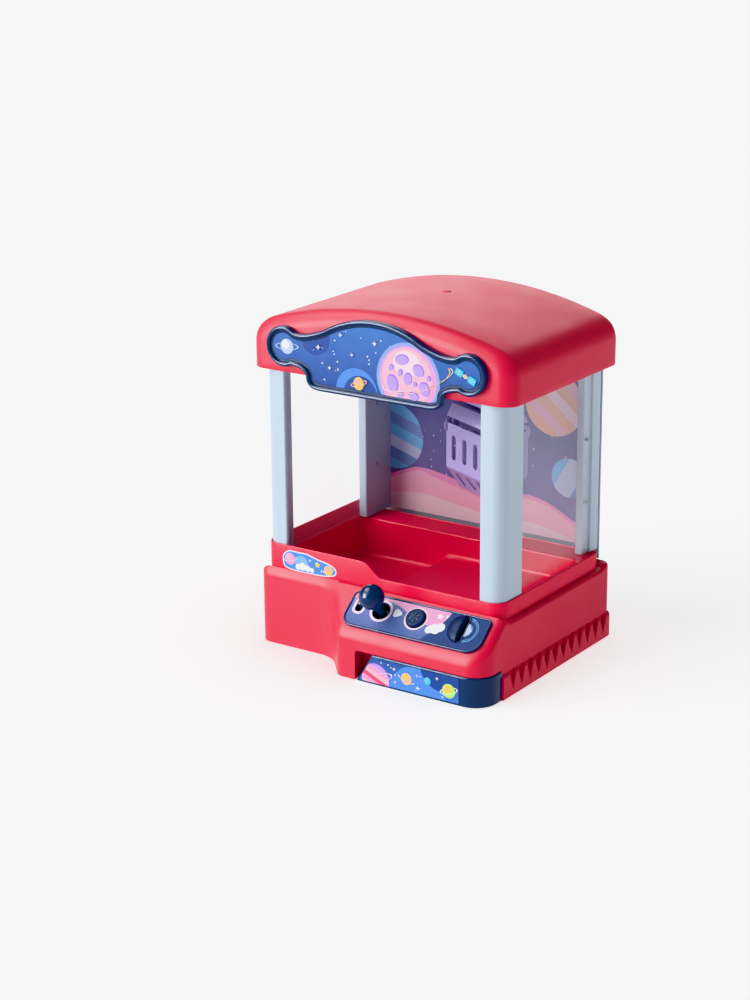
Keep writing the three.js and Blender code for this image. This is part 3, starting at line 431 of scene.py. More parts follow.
def prism(path, low, high):
    """A straight body over an outline in XY."""
    return loft([at_height(path, low), at_height(path, high)])


def box_faces(x0, x1, y0, y1, z0, z1):
    return prism([(x0, y0), (x1, y0), (x1, y1), (x0, y1)], z0, z1)


def pillow(path, low, high, edge, steps=4):
    """A flat body over an outline in XY, with its upper edge rounded."""
    rings = [at_height(path, low)]
    for inward, down in rounding(steps):
        rings.append(at_height(inset(path, edge * inward), high - edge * down))
    return loft(rings)


def lathe(profile, x=0.0, y=0.0, steps=40):
    """A body turned about a line along Z from (radius, z) points, bottom first."""
    rings = []
    for radius, z in profile:
        circle = arc(0, 0, max(radius, 0.001), 0, 360, steps)[:-1]
        rings.append([(x + px, y + py, z) for px, py in circle])
    return loft(rings)


def flat(point):
    return point


def on_panel(point):
    """From panel axes (across, up the slope, out of it) to the machine's axes."""
    x, v, n = point
    c, s = math.cos(SLOPE.angle), math.sin(SLOPE.angle)
    return x, SLOPE.y + v * c - n * s, SLOPE.z + v * s + n * c


def on_front(y):
    """For outlines drawn in XZ: (x, z, height) with the height measured forward from y."""
    return lambda point: (point[0], y - point[2], point[1])


@contextmanager
def edited(mesh):
    """Opens a mesh for editing and writes it back."""
    shape = bmesh.new()
    shape.from_mesh(mesh)
    yield shape
    shape.to_mesh(mesh)
    shape.free()


def weld(shape):
    """Joins points that lie together and turns every face outwards."""
    bmesh.ops.remove_doubles(shape, verts=shape.verts, dist=WELD)
    bmesh.ops.recalc_face_normals(shape, faces=shape.faces)


def split(shape, place, normal, geometry=None):
    """Splits a mesh being edited along a plane; the place is in metres."""
    geometry = geometry or shape.verts[:] + shape.edges[:] + shape.faces[:]
    bmesh.ops.bisect_plane(shape, geom=geometry, plane_co=place, plane_no=normal, dist=1e-6)


def new_mesh(name, points, faces, map_point=flat):
    """A mesh in metres from millimetre points."""
    mesh = bpy.data.meshes.new(name)
    placed = [map_point(p) for p in points]
    mesh.from_pydata([(x * MM, (y + SHIFT_Y) * MM, z * MM) for x, y, z in placed], [], faces)
    return mesh


def linked(name, data):
    """A new object in the scene."""
    thing = bpy.data.objects.new(name, data)
    bpy.context.collection.objects.link(thing)
    return thing


def tool_body(points, faces, map_point=flat):
    """A closed body that is only used to cut with."""
    cutter = linked("cutter", new_mesh("cutter", points, faces, map_point))
    with edited(cutter.data) as shape:
        weld(shape)
    return cutter


def mesh_object(name, points, faces, materials, body="cabinet", map_point=flat, slot=None, smooth=35):
    """Makes a piece from millimetre points, with its normals outward, riding on a body. Its slot
    argument is not used."""
    materials = materials if isinstance(materials, list) else [materials]
    piece = linked(name, new_mesh(name, points, faces, map_point))
    for material in materials:
        piece.data.materials.append(material)
    with edited(piece.data) as shape:
        weld(shape)
    smooth_by_angle(piece, smooth)
    if body:
        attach(piece, body)
    return piece


def smooth_by_angle(piece, degrees=35):
    piece.data.shade_smooth()
    limit = math.radians(degrees)
    with edited(piece.data) as shape:
        for edge in shape.edges:
            edge.smooth = len(edge.link_faces) == 2 and edge.calc_face_angle(0) < limit


def apply_modifier(piece, kind, **settings):
    """Adds a modifier and applies it, so that the mesh is final."""
    modifier = piece.modifiers.new(kind, kind)
    for key, value in settings.items():
        setattr(modifier, key, value)
    graph = bpy.context.evaluated_depsgraph_get()
    done = bpy.data.meshes.new_from_object(piece.evaluated_get(graph))
    piece.modifiers.clear()
    old = piece.data
    piece.data = done
    done.name = old.name
    bpy.data.meshes.remove(old)


def bevel(piece, width, segments=3, angle=40, smooth=40):
    apply_modifier(piece, "BEVEL", width=width * MM, segments=segments, limit_method="ANGLE",
                   angle_limit=math.radians(angle), use_clamp_overlap=True)
    smooth_by_angle(piece, smooth)


def thicken(piece, wall):
    """Gives a surface a wall on its inner side."""
    apply_modifier(piece, "SOLIDIFY", thickness=wall * MM, offset=-1.0, use_even_offset=True)


def cut_with(piece, cutter):
    """Cuts a closed body out of a piece and removes the cutter."""
    apply_modifier(piece, "BOOLEAN", operation="DIFFERENCE", object=cutter, solver="EXACT")
    bpy.data.objects.remove(cutter)


# ---------- CAD nodes with broken edges
def softened(node, width=0.35, segments=2, slot=None, flatten=2.0):
    """A copy of a CAD node whose sharp edges are rounded, standing for the node."""
    slot = slot or SLOT_OF[node]
    piece = linked(node + "_moulding", NODES[node].data.copy())
    with edited(piece.data) as shape:
        bmesh.ops.remove_doubles(shape, verts=shape.verts, dist=WELD)
        bmesh.ops.dissolve_limit(shape, angle_limit=math.radians(flatten), verts=shape.verts,
                                 edges=shape.edges)
    piece.data.materials.clear()
    piece.data.materials.append(BY_SLOT[slot])
    bevel(piece, width, segments)
    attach(piece, next(body for body, nodes in BODIES.items() if node in nodes))
    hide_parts(node)
    return piece


def finish_plain_nodes():
    for name, node in NODES.items():
        node.data.materials.clear()
        node.data.materials.append(BY_SLOT[SLOT_OF[name]])


# ---------- roof
def roof_section(depth):
    """The vault's outline in XZ from the right foot over to the left foot, moved inwards by depth."""
    half = ROOF.half - depth
    shoulder = ROOF.shoulder - depth
    radius = ROOF.arch - depth
    centre = ROOF.peak - ROOF.arch
    lean = math.degrees(math.asin(shoulder / radius))
    top = centre + radius * math.cos(math.radians(lean))
    bend = ROOF.eave + (top - ROOF.eave) * 0.72
    right = [(half, ROOF.low + (ROOF.eave - ROOF.low) * i / 4) for i in range(4)]
    right += curve((half, ROOF.eave), (half, bend), (shoulder, top), 14)
    return right + arc(0, centre, radius, 90 - lean, 90 + lean, 40)[1:-1] + mirrored(right)


def make_roof():
    fillet = ROOF.fillet
    front = [(ROOF.front + fillet * inward, fillet * down) for inward, down in rounding(10)]
    middle = [(y, 0.0) for y in (-40, -10, 20, 50, 80)]
    back = [(ROOF.front + ROOF.back - y, depth) for y, depth in reversed(front)]
    rings = [[(x, y, z) for x, z in roof_section(depth)] for y, depth in front + middle + back]
    roof = mesh_object("roof_vault", *loft(rings, wrap=False), RED)
    thicken(roof, ROOF.wall)
    bevel(roof, 0.7, 3, 60)
    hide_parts("roof_shell")
    gate = [(4.2, 327.2), (4.2, 328.25), (3.9, 328.45), (3.2, 328.45), (2.9, 328.2), (0, 328.15)]
    mesh_object("roof_gate_mark", *lathe(gate, 2, 32), RED)


# ---------- marquee
def marquee_outline():
    """Crown arc between two round ears, over a flat chin with soft corners; anticlockwise in XZ."""
    m = MARQUEE
    crown_z = m.crown - m.crown_radius
    lean = math.degrees(math.asin(m.crown_half / m.crown_radius))
    ear = arc(m.ear_x, m.ear_z, m.ear, -118, 128, 36)
    crown_end = (m.crown_half, crown_z + m.crown_radius * math.cos(math.radians(lean)))
    waist = (m.lens, m.valley_low - 6)
    right = curve((m.lens - m.corner, m.chin), (m.lens, m.chin), waist, 14)
    right += curve(waist, (m.lens, m.valley_low), ear[0], 10)[1:]
    right += ear[1:]
    right += curve(ear[-1], (m.valley_x, m.valley_top), crown_end, 12)[1:]
    return right + arc(0, crown_z, m.crown_radius, 90 - lean, 90 + lean, 30)[1:-1] + mirrored(right)


def make_marquee():
    path = marquee_outline()
    bead, face = MARQUEE.bead, MARQUEE.front
    profile = [(0.0, MARQUEE.back), (0.0, face + 1.2)]
    for degrees in range(15, 180, 15):
        turn = math.radians(degrees)
        profile.append((bead * (1 - math.cos(turn)), face + 1.2 - bead * math.sin(turn)))
    profile += [(4.2, face + 1.4), (4.4, face + 1.7), (6.2, face + 1.8), (6.4, face + 2.3)]
    rings = [[(x, y, z) for x, z in inset(path, depth)] for depth, y in profile]
    bezel = mesh_object("marquee_bead", *loft(rings), NAVY)
    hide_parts("marquee_frame")
    sheet = inset(path, MARQUEE.label_inset)
    ground = graded_ink("marquee_ground", (0.020, 0.060, 0.25), (0.040, 0.14, 0.42), 0.255, 0.318)
    label = mesh_object("marquee_sheet", *prism(sheet, 0, 0.5), ground,
                        map_point=on_front(face + 2.1))
    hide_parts("marquee_label")
    marquee_print(sheet)


# ---------- printed art
def tidy(path, nearest=0.02):
    """Drops points that lie on their neighbour."""
    return [p for i, p in enumerate(path) if math.dist(p, path[i - 1]) > nearest]


def clipped(path, window):
    """The part of an outline inside a convex, anticlockwise window."""
    result = list(path)
    for i, (ax, ay) in enumerate(window):
        bx, by = window[(i + 1) % len(window)]
        kept = []
        for k, here in enumerate(result):
            before = result[k - 1]
            here_in = (bx - ax) * (here[1] - ay) - (by - ay) * (here[0] - ax)
            before_in = (bx - ax) * (before[1] - ay) - (by - ay) * (before[0] - ax)
            if here_in * before_in < 0:
                t = before_in / (before_in - here_in)
                kept.append(tuple(b + (h - b) * t for b, h in zip(before, here)))
            if here_in >= 0:
                kept.append(here)
        result = kept
    return tidy(result)


def is_inside(path, x, y):
    """Whether a point lies within a closed outline: a ray from it then meets an odd number of sides."""
    odd = False
    for (ax, ay), (bx, by) in zip(path, path[1:] + path[:1]):
        if (ay > y) != (by > y) and x < ax + (bx - ax) * (y - ay) / (by - ay):
            odd = not odd
    return odd


def disc(x, y, radius, stretch=1.0, lean=0.0, steps=44):
    """A circle or a leaning ellipse; lean in degrees."""
    circle = arc(0, 0, radius, 0, 360, steps)[:-1]
    return turned([(px, py * stretch) for px, py in circle], lean, x, y)


def star(x, y, radius, points=5, waist=0.5, turn=90):
    result = []
    for i in range(2 * points):
        reach = radius if i % 2 == 0 else radius * waist
        angle = math.radians(turn + 180 * i / points)
        result.append((x + reach * math.cos(angle), y + reach * math.sin(angle)))
    return result


def rectangle_at(x, y, width, height, lean):
    corners = [(-width / 2, -height / 2), (width / 2, -height / 2), (width / 2, height / 2),
               (-width / 2, height / 2)]
    return turned(corners, lean, x, y)


class Art:
    """Printed shapes gathered into one mesh; each layer is a thin closed plate with its own ink."""

    def __init__(self, sheet):
        self.sheet = sheet
        self.points = []
        self.faces = []
        self.inks = []
        self.face_inks = []
        self.layer = 1

    def add(self, points, faces, material):
        if material not in self.inks:
            self.inks.append(material)
        start = len(self.points)
        self.points += points
        self.faces += [tuple(start + i for i in face) for face in faces]
        self.face_inks += [self.inks.index(material)] * len(faces)

    def add_layer(self, points, faces, material):
        self.add(points, faces, material)
        self.layer += 1

    def shape(self, path, material, clip=False):
        """Adds a filled outline. With clip, a convex outline may run off the sheet."""
        if clip:
            path = clipped(self.sheet, path)
        if len(path) >= 3:
            self.add_layer(*prism(path, PRINT_ROOT, PRINT_STEP * self.layer), material)

    def discs(self, material, *places, clip=False):
        """Adds a disc at each (x, y, radius, stretch, lean)."""
        for place in places:
            self.shape(disc(*place), material, clip)

    def stars(self, material, waist, *places):
        """Adds a four-pointed star at each (x, y, radius)."""
        for x, y, radius in places:
            self.shape(star(x, y, radius, 4, waist), material)

    def hoop(self, x, y, radius, width, material, stretch=1.0, lean=0.0, start=0.0, end=360.0, steps=60):
        """Adds a ring or part of one, as a thin strip."""
        top = PRINT_STEP * self.layer
        rows = []
        for px, py in arc(0, 0, 1.0, start, end, steps):
            ends = [(px * reach, py * reach * stretch) for reach in (radius, radius - width)]
            (ox, oy), (ix, iy) = turned(ends, lean, x, y)
            rows.append([(ox, oy, PRINT_ROOT), (ox, oy, top), (ix, iy, top), (ix, iy, PRINT_ROOT)])
        is_whole = end - start >= 360
        self.add_layer(*(closed_strip(rows[:-1]) if is_whole else loft(rows)), material)

    def band(self, outer, inner, material):
        """Adds the strip between two closed outlines that match point for point."""
        top = PRINT_STEP * self.layer
        rows = [[(ox, oy, PRINT_ROOT), (ox, oy, top), (ix, iy, top), (ix, iy, PRINT_ROOT)]
                for (ox, oy), (ix, iy) in zip(outer, inner)]
        self.add_layer(*closed_strip(rows), material)

    def ringed_planet(self, globe, globe_ink, spot, spot_ink, ring):
        """Adds a planet inside its ring, which is given as (radius, width, ink, stretch, lean)."""
        x, y = globe[:2]
        self.hoop(x, y, *ring, 0, 180)
        self.discs(globe_ink, globe)
        self.discs(spot_ink, spot)
        self.hoop(x, y, *ring, 180, 360)

    def banded_planet(self, x, y, radius, inks, lean):
        """Adds a planet striped across in bands, leaning by some degrees."""
        whole = clipped(disc(x, y, radius, steps=64), self.sheet)
        for i, material in enumerate(inks):
            low, high, side = -radius + 2 * radius * i / len(inks), radius + 1, radius + 2
            window = [(-side, low), (side, low), (side, high), (-side, high)]
            self.shape(clipped(whole, turned(window, lean, x, y)), material)

    def dots(self, count, seed, keep, low, high):
        """Scatters small round white stars where keep(x, y) allows."""
        draw = random.Random(seed)
        for _ in range(count):
            x, y = draw.uniform(low[0], high[0]), draw.uniform(low[1], high[1])
            size = draw.uniform(0.3, 0.75)
            if keep(x, y):
                self.add(*prism(disc(x, y, size, steps=10), PRINT_ROOT, PRINT_STEP * 1.5), WHITE_INK)

    def finish(self, name, body="cabinet", map_point=flat, slot="printed_label"):
        """Makes the mesh and gives each face its ink."""
        piece = mesh_object(name, self.points, self.faces, self.inks, body, map_point, slot, 30)
        for polygon, number in zip(piece.data.polygons, self.face_inks):
            polygon.material_index = number


def marquee_print(sheet):
    art = Art(sheet)
    art.discs(DEEP_INK, (-62, 300, 16), clip=True)
    art.discs(BLUE_INK, (-18, 256, 22), clip=True)
    art.discs(DEEP_INK, (-14, 254, 18), clip=True)
    sky = inset(sheet, 1.6)
    art.dots(46, 11, lambda x, z: z > 262 and is_inside(sky, x, z), (-66, 260), (66, 314))
    art.ringed_planet((-93, 288, 6.8), LIGHT_INK, (-94.4, 289.6, 4.2), WHITE_INK,
                      (12.6, 1.1, LIGHT_INK, 0.26, 4))
    # cratered moon with its glow and orbits
    for radius, material in ((32.5, HAZE_INK), (30.0, LILAC_INK), (28.5, PINK_INK)):
        art.discs(material, (36, 275.5, radius), clip=True)
    art.discs(ROSE_INK, (34.8, 277.5, 25.3), clip=True)
    art.discs(BLUSH_INK, (34.5, 289.5, 13.5, 0.85), clip=True)
    craters = ((30.0, 292.5, 7.4, 0.66, 12), (47.0, 285.0, 6.4, 0.85, -35), (53.0, 269.5, 5.6, 1.2, 10),
               (36.0, 276.5, 4.6, 1.25, -15), (20.2, 270.5, 6.0, 1.35, 12), (42.0, 262.0, 5.8, 0.62, -10),
               (28.5, 261.5, 3.4, 0.8, 24), (57.6, 279.5, 2.2, 1.2, 0), (19.0, 284.5, 2.6, 1.2, -20),
               (28.4, 281.0, 2.6, 1.3, -20), (43.6, 272.6, 2.2, 1.1, 0))
    for x, z, radius, stretch, lean in craters:
        art.discs(VIOLET_INK, (x, z, radius, stretch, lean))
        art.discs(LILAC_INK, (x - 0.5, z - 0.7, radius * 0.86, stretch, lean))
    art.hoop(46, 277.5, 38, 0.6, WHITE_INK, 0.22, 19, 165, 378)
    art.hoop(50, 277.5, 31.5, 0.6, YELLOW_INK, 0.3, 23, 185, 372)
    # satellite at the right
    x, z, lean = 94.6, 286.5, -24
    art.shape(rectangle_at(x, z, 5.0, 2.2, lean), LIGHT_INK)
    for side in (-1, 1):
        wing = (x + side * 6.4, z - side * 2.85)
        art.shape(rectangle_at(*wing, 7.4, 5.8, lean), TEAL_INK)
        art.shape(rectangle_at(*wing, 7.4, 0.5, lean), LIGHT_INK)
        art.shape(rectangle_at(*wing, 0.5, 5.8, lean), LIGHT_INK)
    art.discs(PEACH_INK, (x, z, 1.7))
    art.ringed_planet((-15, 265, 5.2, 1.1), YELLOW_INK, (-16.0, 266.4, 3.2), PEACH_INK,
                      (8.6, 0.8, ROSE_INK, 0.3, 18))
    art.stars(WHITE_INK, 0.3, (2, 303, 2.4), (-34, 306, 2.0), (-58, 292, 2.4), (-46, 275, 1.8),
              (-22, 290, 1.6))
    art.finish("marquee_print", map_point=on_front(MARQUEE.front + 1.6))


# ---------- base
def base_plan():
    half, back, rear_round = BASE.half, BASE.back, BASE.rear_round
    return rounded([
        (half, back, rear_round), (-half, back, rear_round), (-half, FRONT.recess, FRONT.recess_round),
        (FRONT.sweep_top, FRONT.recess, FRONT.sweep_round),
        (FRONT.sweep_end, FRONT.face, FRONT.cheek_round), (half, FRONT.face, FRONT.nose_round)],
        steps=10, pitch=5)


def base_top(y):
    """Height of the upper surface: control slope, shoulder, deck under the tray, rear ledge."""
    shoulder, deck, ledge = BASE.shoulder, BASE.deck, BASE.ledge
    dip = shoulder + (deck - shoulder) * eased((y - BASE.dip_start) / BASE.dip_run)
    if y < BASE.dip_start + BASE.dip_run:
        return min(SLOPE.z + (y - SLOPE.y) * math.tan(SLOPE.angle), dip)
    if y < BASE.rise_start:
        return dip
    return deck + (ledge - deck) * eased((y - BASE.rise_start) / BASE.rise_run)


def edge_round(x, y):
    """Radius of the upper edge: broad round the control housing, small elsewhere."""
    nose = EDGE.nose + EDGE.nose_gain * eased((x - EDGE.nose_from) / EDGE.nose_run)
    side = EDGE.side
    if x <= 0:
        side += EDGE.side_gain * eased((EDGE.side_from - y) / EDGE.side_run)
    share = eased((EDGE.housing_from - y) / EDGE.housing_run)
    return side * (1 - share) + nose * share


def make_base():
    plan = base_plan()
    radii = [edge_round(x, y) for x, y in plan]
    rings = [at_height(plan, BASE.bottom)]
    for inward, down in rounding(8):
        moved = inset(plan, [r * inward for r in radii])
        rings.append([(x, y, base_top(y) - r * down) for (x, y), r in zip(moved, radii)])
    shell = mesh_object("base_moulding", *loft(rings, capped=(False, True)), RED)
    bends = (-78.8, -77.5, -76, -74.5, -73, -71, 97.5, 98.5, 99.5)
    split_across(shell, [y + SHIFT_Y for y in bends], (0, 1, 0))
    open_deck(shell)
    thicken(shell, BASE.wall)
    left, top = DRAWER.pocket, DRAWER.top + 0.35
    mouth = [(left, -6), (160, -6), (160, top)] + arc(left + 3, top - 3, 3, 90, 180, 6)
    cut_with(shell, tool_body(*prism(mouth, -DRAWER.side_back - 0.3, 130), on_front(0)))
    window = rectangle(PLATE.left + 4, PLATE.right - 4, PLATE.low + 4, PLATE.top - 3, 4)
    cut_with(shell, tool_body(*prism(window, -9, 6), on_panel))
    for side in (-1, 1):
        cut_with(shell, notch_cutter(side))
    bevel(shell, 0.6, 3, angle=55, smooth=19)
    apply_modifier(shell, "WEIGHTED_NORMAL", keep_sharp=True)
    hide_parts("base_shell")
    for side in (-1, 1):
        make_skirt(side)
    make_pocket()


def split_across(piece, places, normal):
    """Splits a piece across an axis at these places (mm), so that its broad faces can bend there."""
    with edited(piece.data) as shape:
        for place in places:
            split(shape, [n * place * MM for n in normal], normal)
    smooth_by_angle(piece)


def open_deck(piece):
    """Opens the deck under the tray."""
    half, front, back = DECK_OPENING.half, DECK_OPENING.front, DECK_OPENING.back
    sides = ((half, 0, (1, 0, 0)), (-half, 0, (1, 0, 0)), (0, front, (0, 1, 0)), (0, back, (0, 1, 0)))
    with edited(piece.data) as shape:
        for x, y, normal in sides:
            high = [f for f in shape.faces if f.normal.z > 0.3]
            rims = {e for f in high for e in f.edges} | {v for f in high for v in f.verts}
            split(shape, (x * MM, (y + SHIFT_Y) * MM, 0), normal, list(rims) + high)
        doomed = []
        for face in shape.faces:
            centre = face.calc_center_median() / MM
            if abs(centre.x) < half and front < centre.y - SHIFT_Y < back and face.normal.z > 0.3:
                doomed.append(face)
        bmesh.ops.delete(shape, geom=doomed, context="FACES")


def notch_cutter(side):
    """A row of V cuts that lean back: a slanting facet in front, a deeper leaf behind it."""
    n = NOTCH
    outer, inner = BASE.half + 4, BASE.half - 1.6
    front = n.front_left if side < 0 else n.front_right
    cuts = []
    for i in range(n.count):
        foot = n.first + n.pitch * i
        if foot - n.lead < front or foot + n.lag > BASE.back - 4:
            continue
        low, high = (foot, n.foot), (foot + n.lag, n.top)
        wide = [low, high, (foot - n.lead, n.top)]
        leaf = [low, high, (foot + n.leaf, n.top)]
        rows = [[(side * x, y, z) for y, z in outline] for x, outline in ((outer, wide), (inner, leaf))]
        cuts.append(loft(rows))
    return tool_body(*joined(cuts))


def make_skirt(side):
    """The proud band low on a side wall, its upper edge sloping back into the wall."""
    root = BASE.half - 1.2
    section = [(0, 0.8), (3.0, 0.8), (3.6, 1.5), (3.6, 21.2), (3.2, 22.2), (2.4, 23.2), (1.0, 24.2),
               (0, 24.6)]
    front = DRAWER.side_back + 0.4 if side > 0 else -64.0
    stations = [(front, 1.0)] if side > 0 else [(front, 0.05), (front + 8, 1.0)]
    stations += [(BASE.back - 8, 1.0), (BASE.back - 5, 0.9), (BASE.back - 3, 0.55)]
    rings = [[(side * (root + proud * share), y, z) for proud, z in section] for y, share in stations]
    band = mesh_object(f"skirt_band_{'right' if side > 0 else 'left'}", *loft(rings), RED)
    cut_with(band, notch_cutter(side))
    bevel(band, 0.25, 2, angle=45, smooth=19)


def make_pocket():
    """The walls of the finger recess beside the drawer."""
    left, right, back, wall = DRAWER.pocket, 21.8, -99.0, 1.6
    front, top = FRONT.face + 1.2, DRAWER.top + 1.2
    walls = (("cheek", (left - wall, left, front, back, 0.8, top)),
             ("rear", (left - wall, right, back, back + wall, 4.7, top)),
             ("lintel", (left - wall, DRAWER.box_right, front, back + wall, top, top + wall)))
    for label, sides in walls:
        bevel(mesh_object("pocket_" + label, *box_faces(*sides), RED), 0.3, 2)


# ---------- prize tray
def rim_height(x, y):
    rise = eased((TRAY.step_end - x) / (TRAY.step_end - TRAY.step_start))
    rise *= 1 - eased((y - TRAY.rear_dip) / TRAY.dip_run)
    return TRAY.low + (TRAY.high - TRAY.low) * rise


def floor_height(x):
    run = TRAY.well_edge - TRAY.well_foot
    share = max(0.0, min(1.0, (TRAY.well_edge - x) / run))
    return TRAY.play + (TRAY.well - TRAY.play) * share


def tray_plan(depth):
    """The tray's outline; every inset has the same number of points, at the same places."""
    half, front, back = TRAY.half - depth, TRAY.front + depth, TRAY.back - depth
    corner, rear_corner = max(TRAY.outer_corner - depth, 1), max(TRAY.rear_corner - depth, 1)
    return even_rectangle(-half, half, front, back, corner, rear_corner)


def basin_plan(depth):
    half, front, back = TRAY.basin - depth, TRAY.basin_front + depth, TRAY.basin_back - depth
    corner = max(TRAY.basin_corner - depth, 1)
    return even_rectangle(-half, half, front, back, corner, corner)


def even_rectangle(x0, x1, y0, y1, front_round, back_round, steps=8, along=44, across=28):
    """A rounded rectangle with a fixed number of points on each side and corner, anticlockwise."""
    a, b = front_round, back_round
    corners = ((x0 + a, y0 + a, a), (x1 - a, y0 + a, a), (x1 - b, y1 - b, b), (x0 + b, y1 - b, b))
    bends = [arc(*corner, 180 + 90 * i, 270 + 90 * i, steps) for i, corner in enumerate(corners)]
    path = []
    for i, bend in enumerate(bends):
        (x, y), (nx, ny) = bend[-1], bends[(i + 1) % 4][0]
        count = (along, across)[i % 2]
        path += bend + [(x + (nx - x) * k / count, y + (ny - y) * k / count) for k in range(1, count)]
    return path


def make_tray():
    lip, ledge = TRAY.lip, TRAY.ledge
    foot, under = BASE.deck + 0.35, ledge - 2
    shoulder, ledge_round, basin_round, floor_round, floor_wall = 1.0, 1.6, 1.8, 5.0, 1.5
    sole = tray_plan(TRAY.foot_inset)
    rings = [at_height(sole, foot), at_height(tray_plan(0.4), foot), at_height(tray_plan(0), foot + 0.4)]
    for inward, down in rounding(6, 180):
        rings.append([(x, y, rim_height(x, y) - lip / 2 * down) for x, y in tray_plan(lip / 2 * inward)])
    for inward, down in rounding(4):
        rings.append(at_height(tray_plan(lip + shoulder * inward), ledge + shoulder * down))
    for inward, down in rounding(4):
        rings.append(at_height(basin_plan(-ledge_round * down), ledge - ledge_round * inward))
    for inward, down in rounding(5):
        ring = basin_plan(floor_round * inward)
        rings.append([(x, y, floor_height(x) + floor_round * down) for x, y in ring])
    bends = [TRAY.well_foot, TRAY.well_edge]
    moulding = mesh_object("tray_moulding", *loft(rings, capped=(False, True)), TRAY_RED)
    split_across(moulding, bends, (1, 0, 0))
    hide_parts("prize_tray")
    pan = basin_plan(-basin_round)
    lower = [at_height(sole, foot), at_height(sole, under), at_height(pan, under),
             [(x, y, floor_height(x) - floor_wall) for x, y in pan]]
    add_surface(moulding, *loft(lower, capped=(False, True)), bends)


def add_surface(piece, points, faces, bends):
    """Closes a moulding with its underside, split across X at these places."""
    mesh = new_mesh("underside", points, faces)
    shape = bmesh.new()
    shape.from_mesh(mesh)
    for x in bends:
        split(shape, (x * MM, 0, 0), (1, 0, 0))
    shape.from_mesh(piece.data)
    weld(shape)
    shape.to_mesh(piece.data)
    shape.free()
    bpy.data.meshes.remove(mesh)
    smooth_by_angle(piece)


# ---------- posts
def make_posts():
    f, r = FRONT_POST, REAR_POST
    x, y, wall, tip = f.x, f.y, f.wall, 1.5
    front = rounded([
        (x, y, f.corner), (x, y + f.wing_y, tip), (x - wall, y + f.wing_y, tip),
        (x - wall, y + wall, f.corner - wall), (x - f.wing_x, y + wall, tip),
        (x - f.wing_x, y, tip)], steps=12, pitch=40)
    for label, (inner, start) in (("right", r.right), ("left", r.left)):
        rear = rounded([(inner, start, 1.2), (r.face, start, 1.2), (r.face, r.step, 0.3),
                        (r.flange, r.step, 0.8), (r.flange, r.back, 3),
                        (inner, r.back, 0.5)], steps=6, pitch=40)
        for where, path, foot in (("front", front, f.foot), ("rear", rear, r.foot)):
            outline = mirrored(path) if label == "left" else path
            post = mesh_object(f"{where}_{label}_pillar", *prism(outline, foot, POST_TOP), PALE)
            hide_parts(f"{where}_{label}_post")


# ---------- backdrop card
def make_backdrop():
    low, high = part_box("backdrop_card")
    x0, x1 = low.x / MM, high.x / MM
    z0, z1 = low.z / MM, high.z / MM
    face = low.y / MM - SHIFT_Y
    sheet = rectangle(x0, x1, z0, z1, 1.0, 3, 12)
    ground = graded_ink("backdrop_ground", (0.22, 0.20, 0.44), (0.06, 0.08, 0.28), 0.11, 0.25)
    card = mesh_object("backdrop_sheet", *prism(sheet, -0.7, 0), ground, slot="printed_card",
                       map_point=on_front(face))
    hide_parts("backdrop_card")
    art = Art(sheet)
    art.dots(90, 3, lambda x, z: 128 < z < 258, (-116, 124), (116, 260))
    art.banded_planet(-106, 158, 33, (SKY_INK, HAZE_INK, LIGHT_INK, SKY_INK, HAZE_INK, SKY_INK), -18)
    art.banded_planet(72, 216, 31, (PEACH_INK, ROSE_INK, PEACH_INK, BLUSH_INK, PEACH_INK, ROSE_INK), -40)
    art.banded_planet(89.5, 147, 19, (HAZE_INK, LIGHT_INK, LIGHT_INK, SKY_INK), 60)
    art.discs(LILAC_INK, (-30, 232, 9))
    art.discs(ROSE_INK, (-33, 235, 5))
    art.hoop(-30, 232, 15, 1.2, WHITE_INK, 0.3, 16, 160, 380)
    left, right, foot = x0 - 9, x1 + 9, z0 - 20
    back_hill = [(right, 100), (99, 103), (70, 119), (41, 125), (10, 112), (-20, 121), (-48, 128),
                 (-79, 132), (-105, 121), (left, 112)]
    hill = [(right, 96), (99, 99), (72, 115), (41, 121), (8, 108), (-31, 117), (-58, 123), (-79, 129),
            (-105, 117), (left, 108)]
    front_hill = [(96, 88), (50, 98), (14, 94), (-40, 101), (-74, 106), (left, 98)]
    for ridge, material in ((back_hill, PINK_INK), (hill, ROSE_INK), (front_hill, BLUSH_INK)):
        art.shape(clipped(smoothed([(left, foot), (right, foot)] + ridge), sheet), material)
    art.finish("backdrop_print", map_point=on_front(face - 0.01), slot="printed_card")


# ---------- control panel
def plate_outline(depth):
    p = PLATE
    path = rounded([(p.left, p.low, 11), (p.right, p.low, 14), (p.right, p.top, 5),
                    (p.left, p.top, 7)], steps=10, pitch=8)
    return inset(path, depth) if depth else path


def around(place, half_x, half_v, radius):
    """A rounded rectangle centred on a control."""
    x, v = place.x, place.v
    return rectangle(x - half_x, x + half_x, v - half_v, v + half_v, radius)


def cut_holes(piece):
    """Opens a piece of the panel where the joystick, button, switch and coins come through."""
    holes = (disc(STICK.x, STICK.v, STICK.hole, steps=56),
             disc(BUTTON.x, BUTTON.v, BUTTON.radius + 0.45, steps=56),
             around(SWITCH, SWITCH.half_x, SWITCH.half_v, 3),
             around(COIN, COIN.slot / 2, COIN.length / 2, 1))
    for hole in holes:
        cut_with(piece, tool_body(*prism(hole, -6, 9), on_panel))


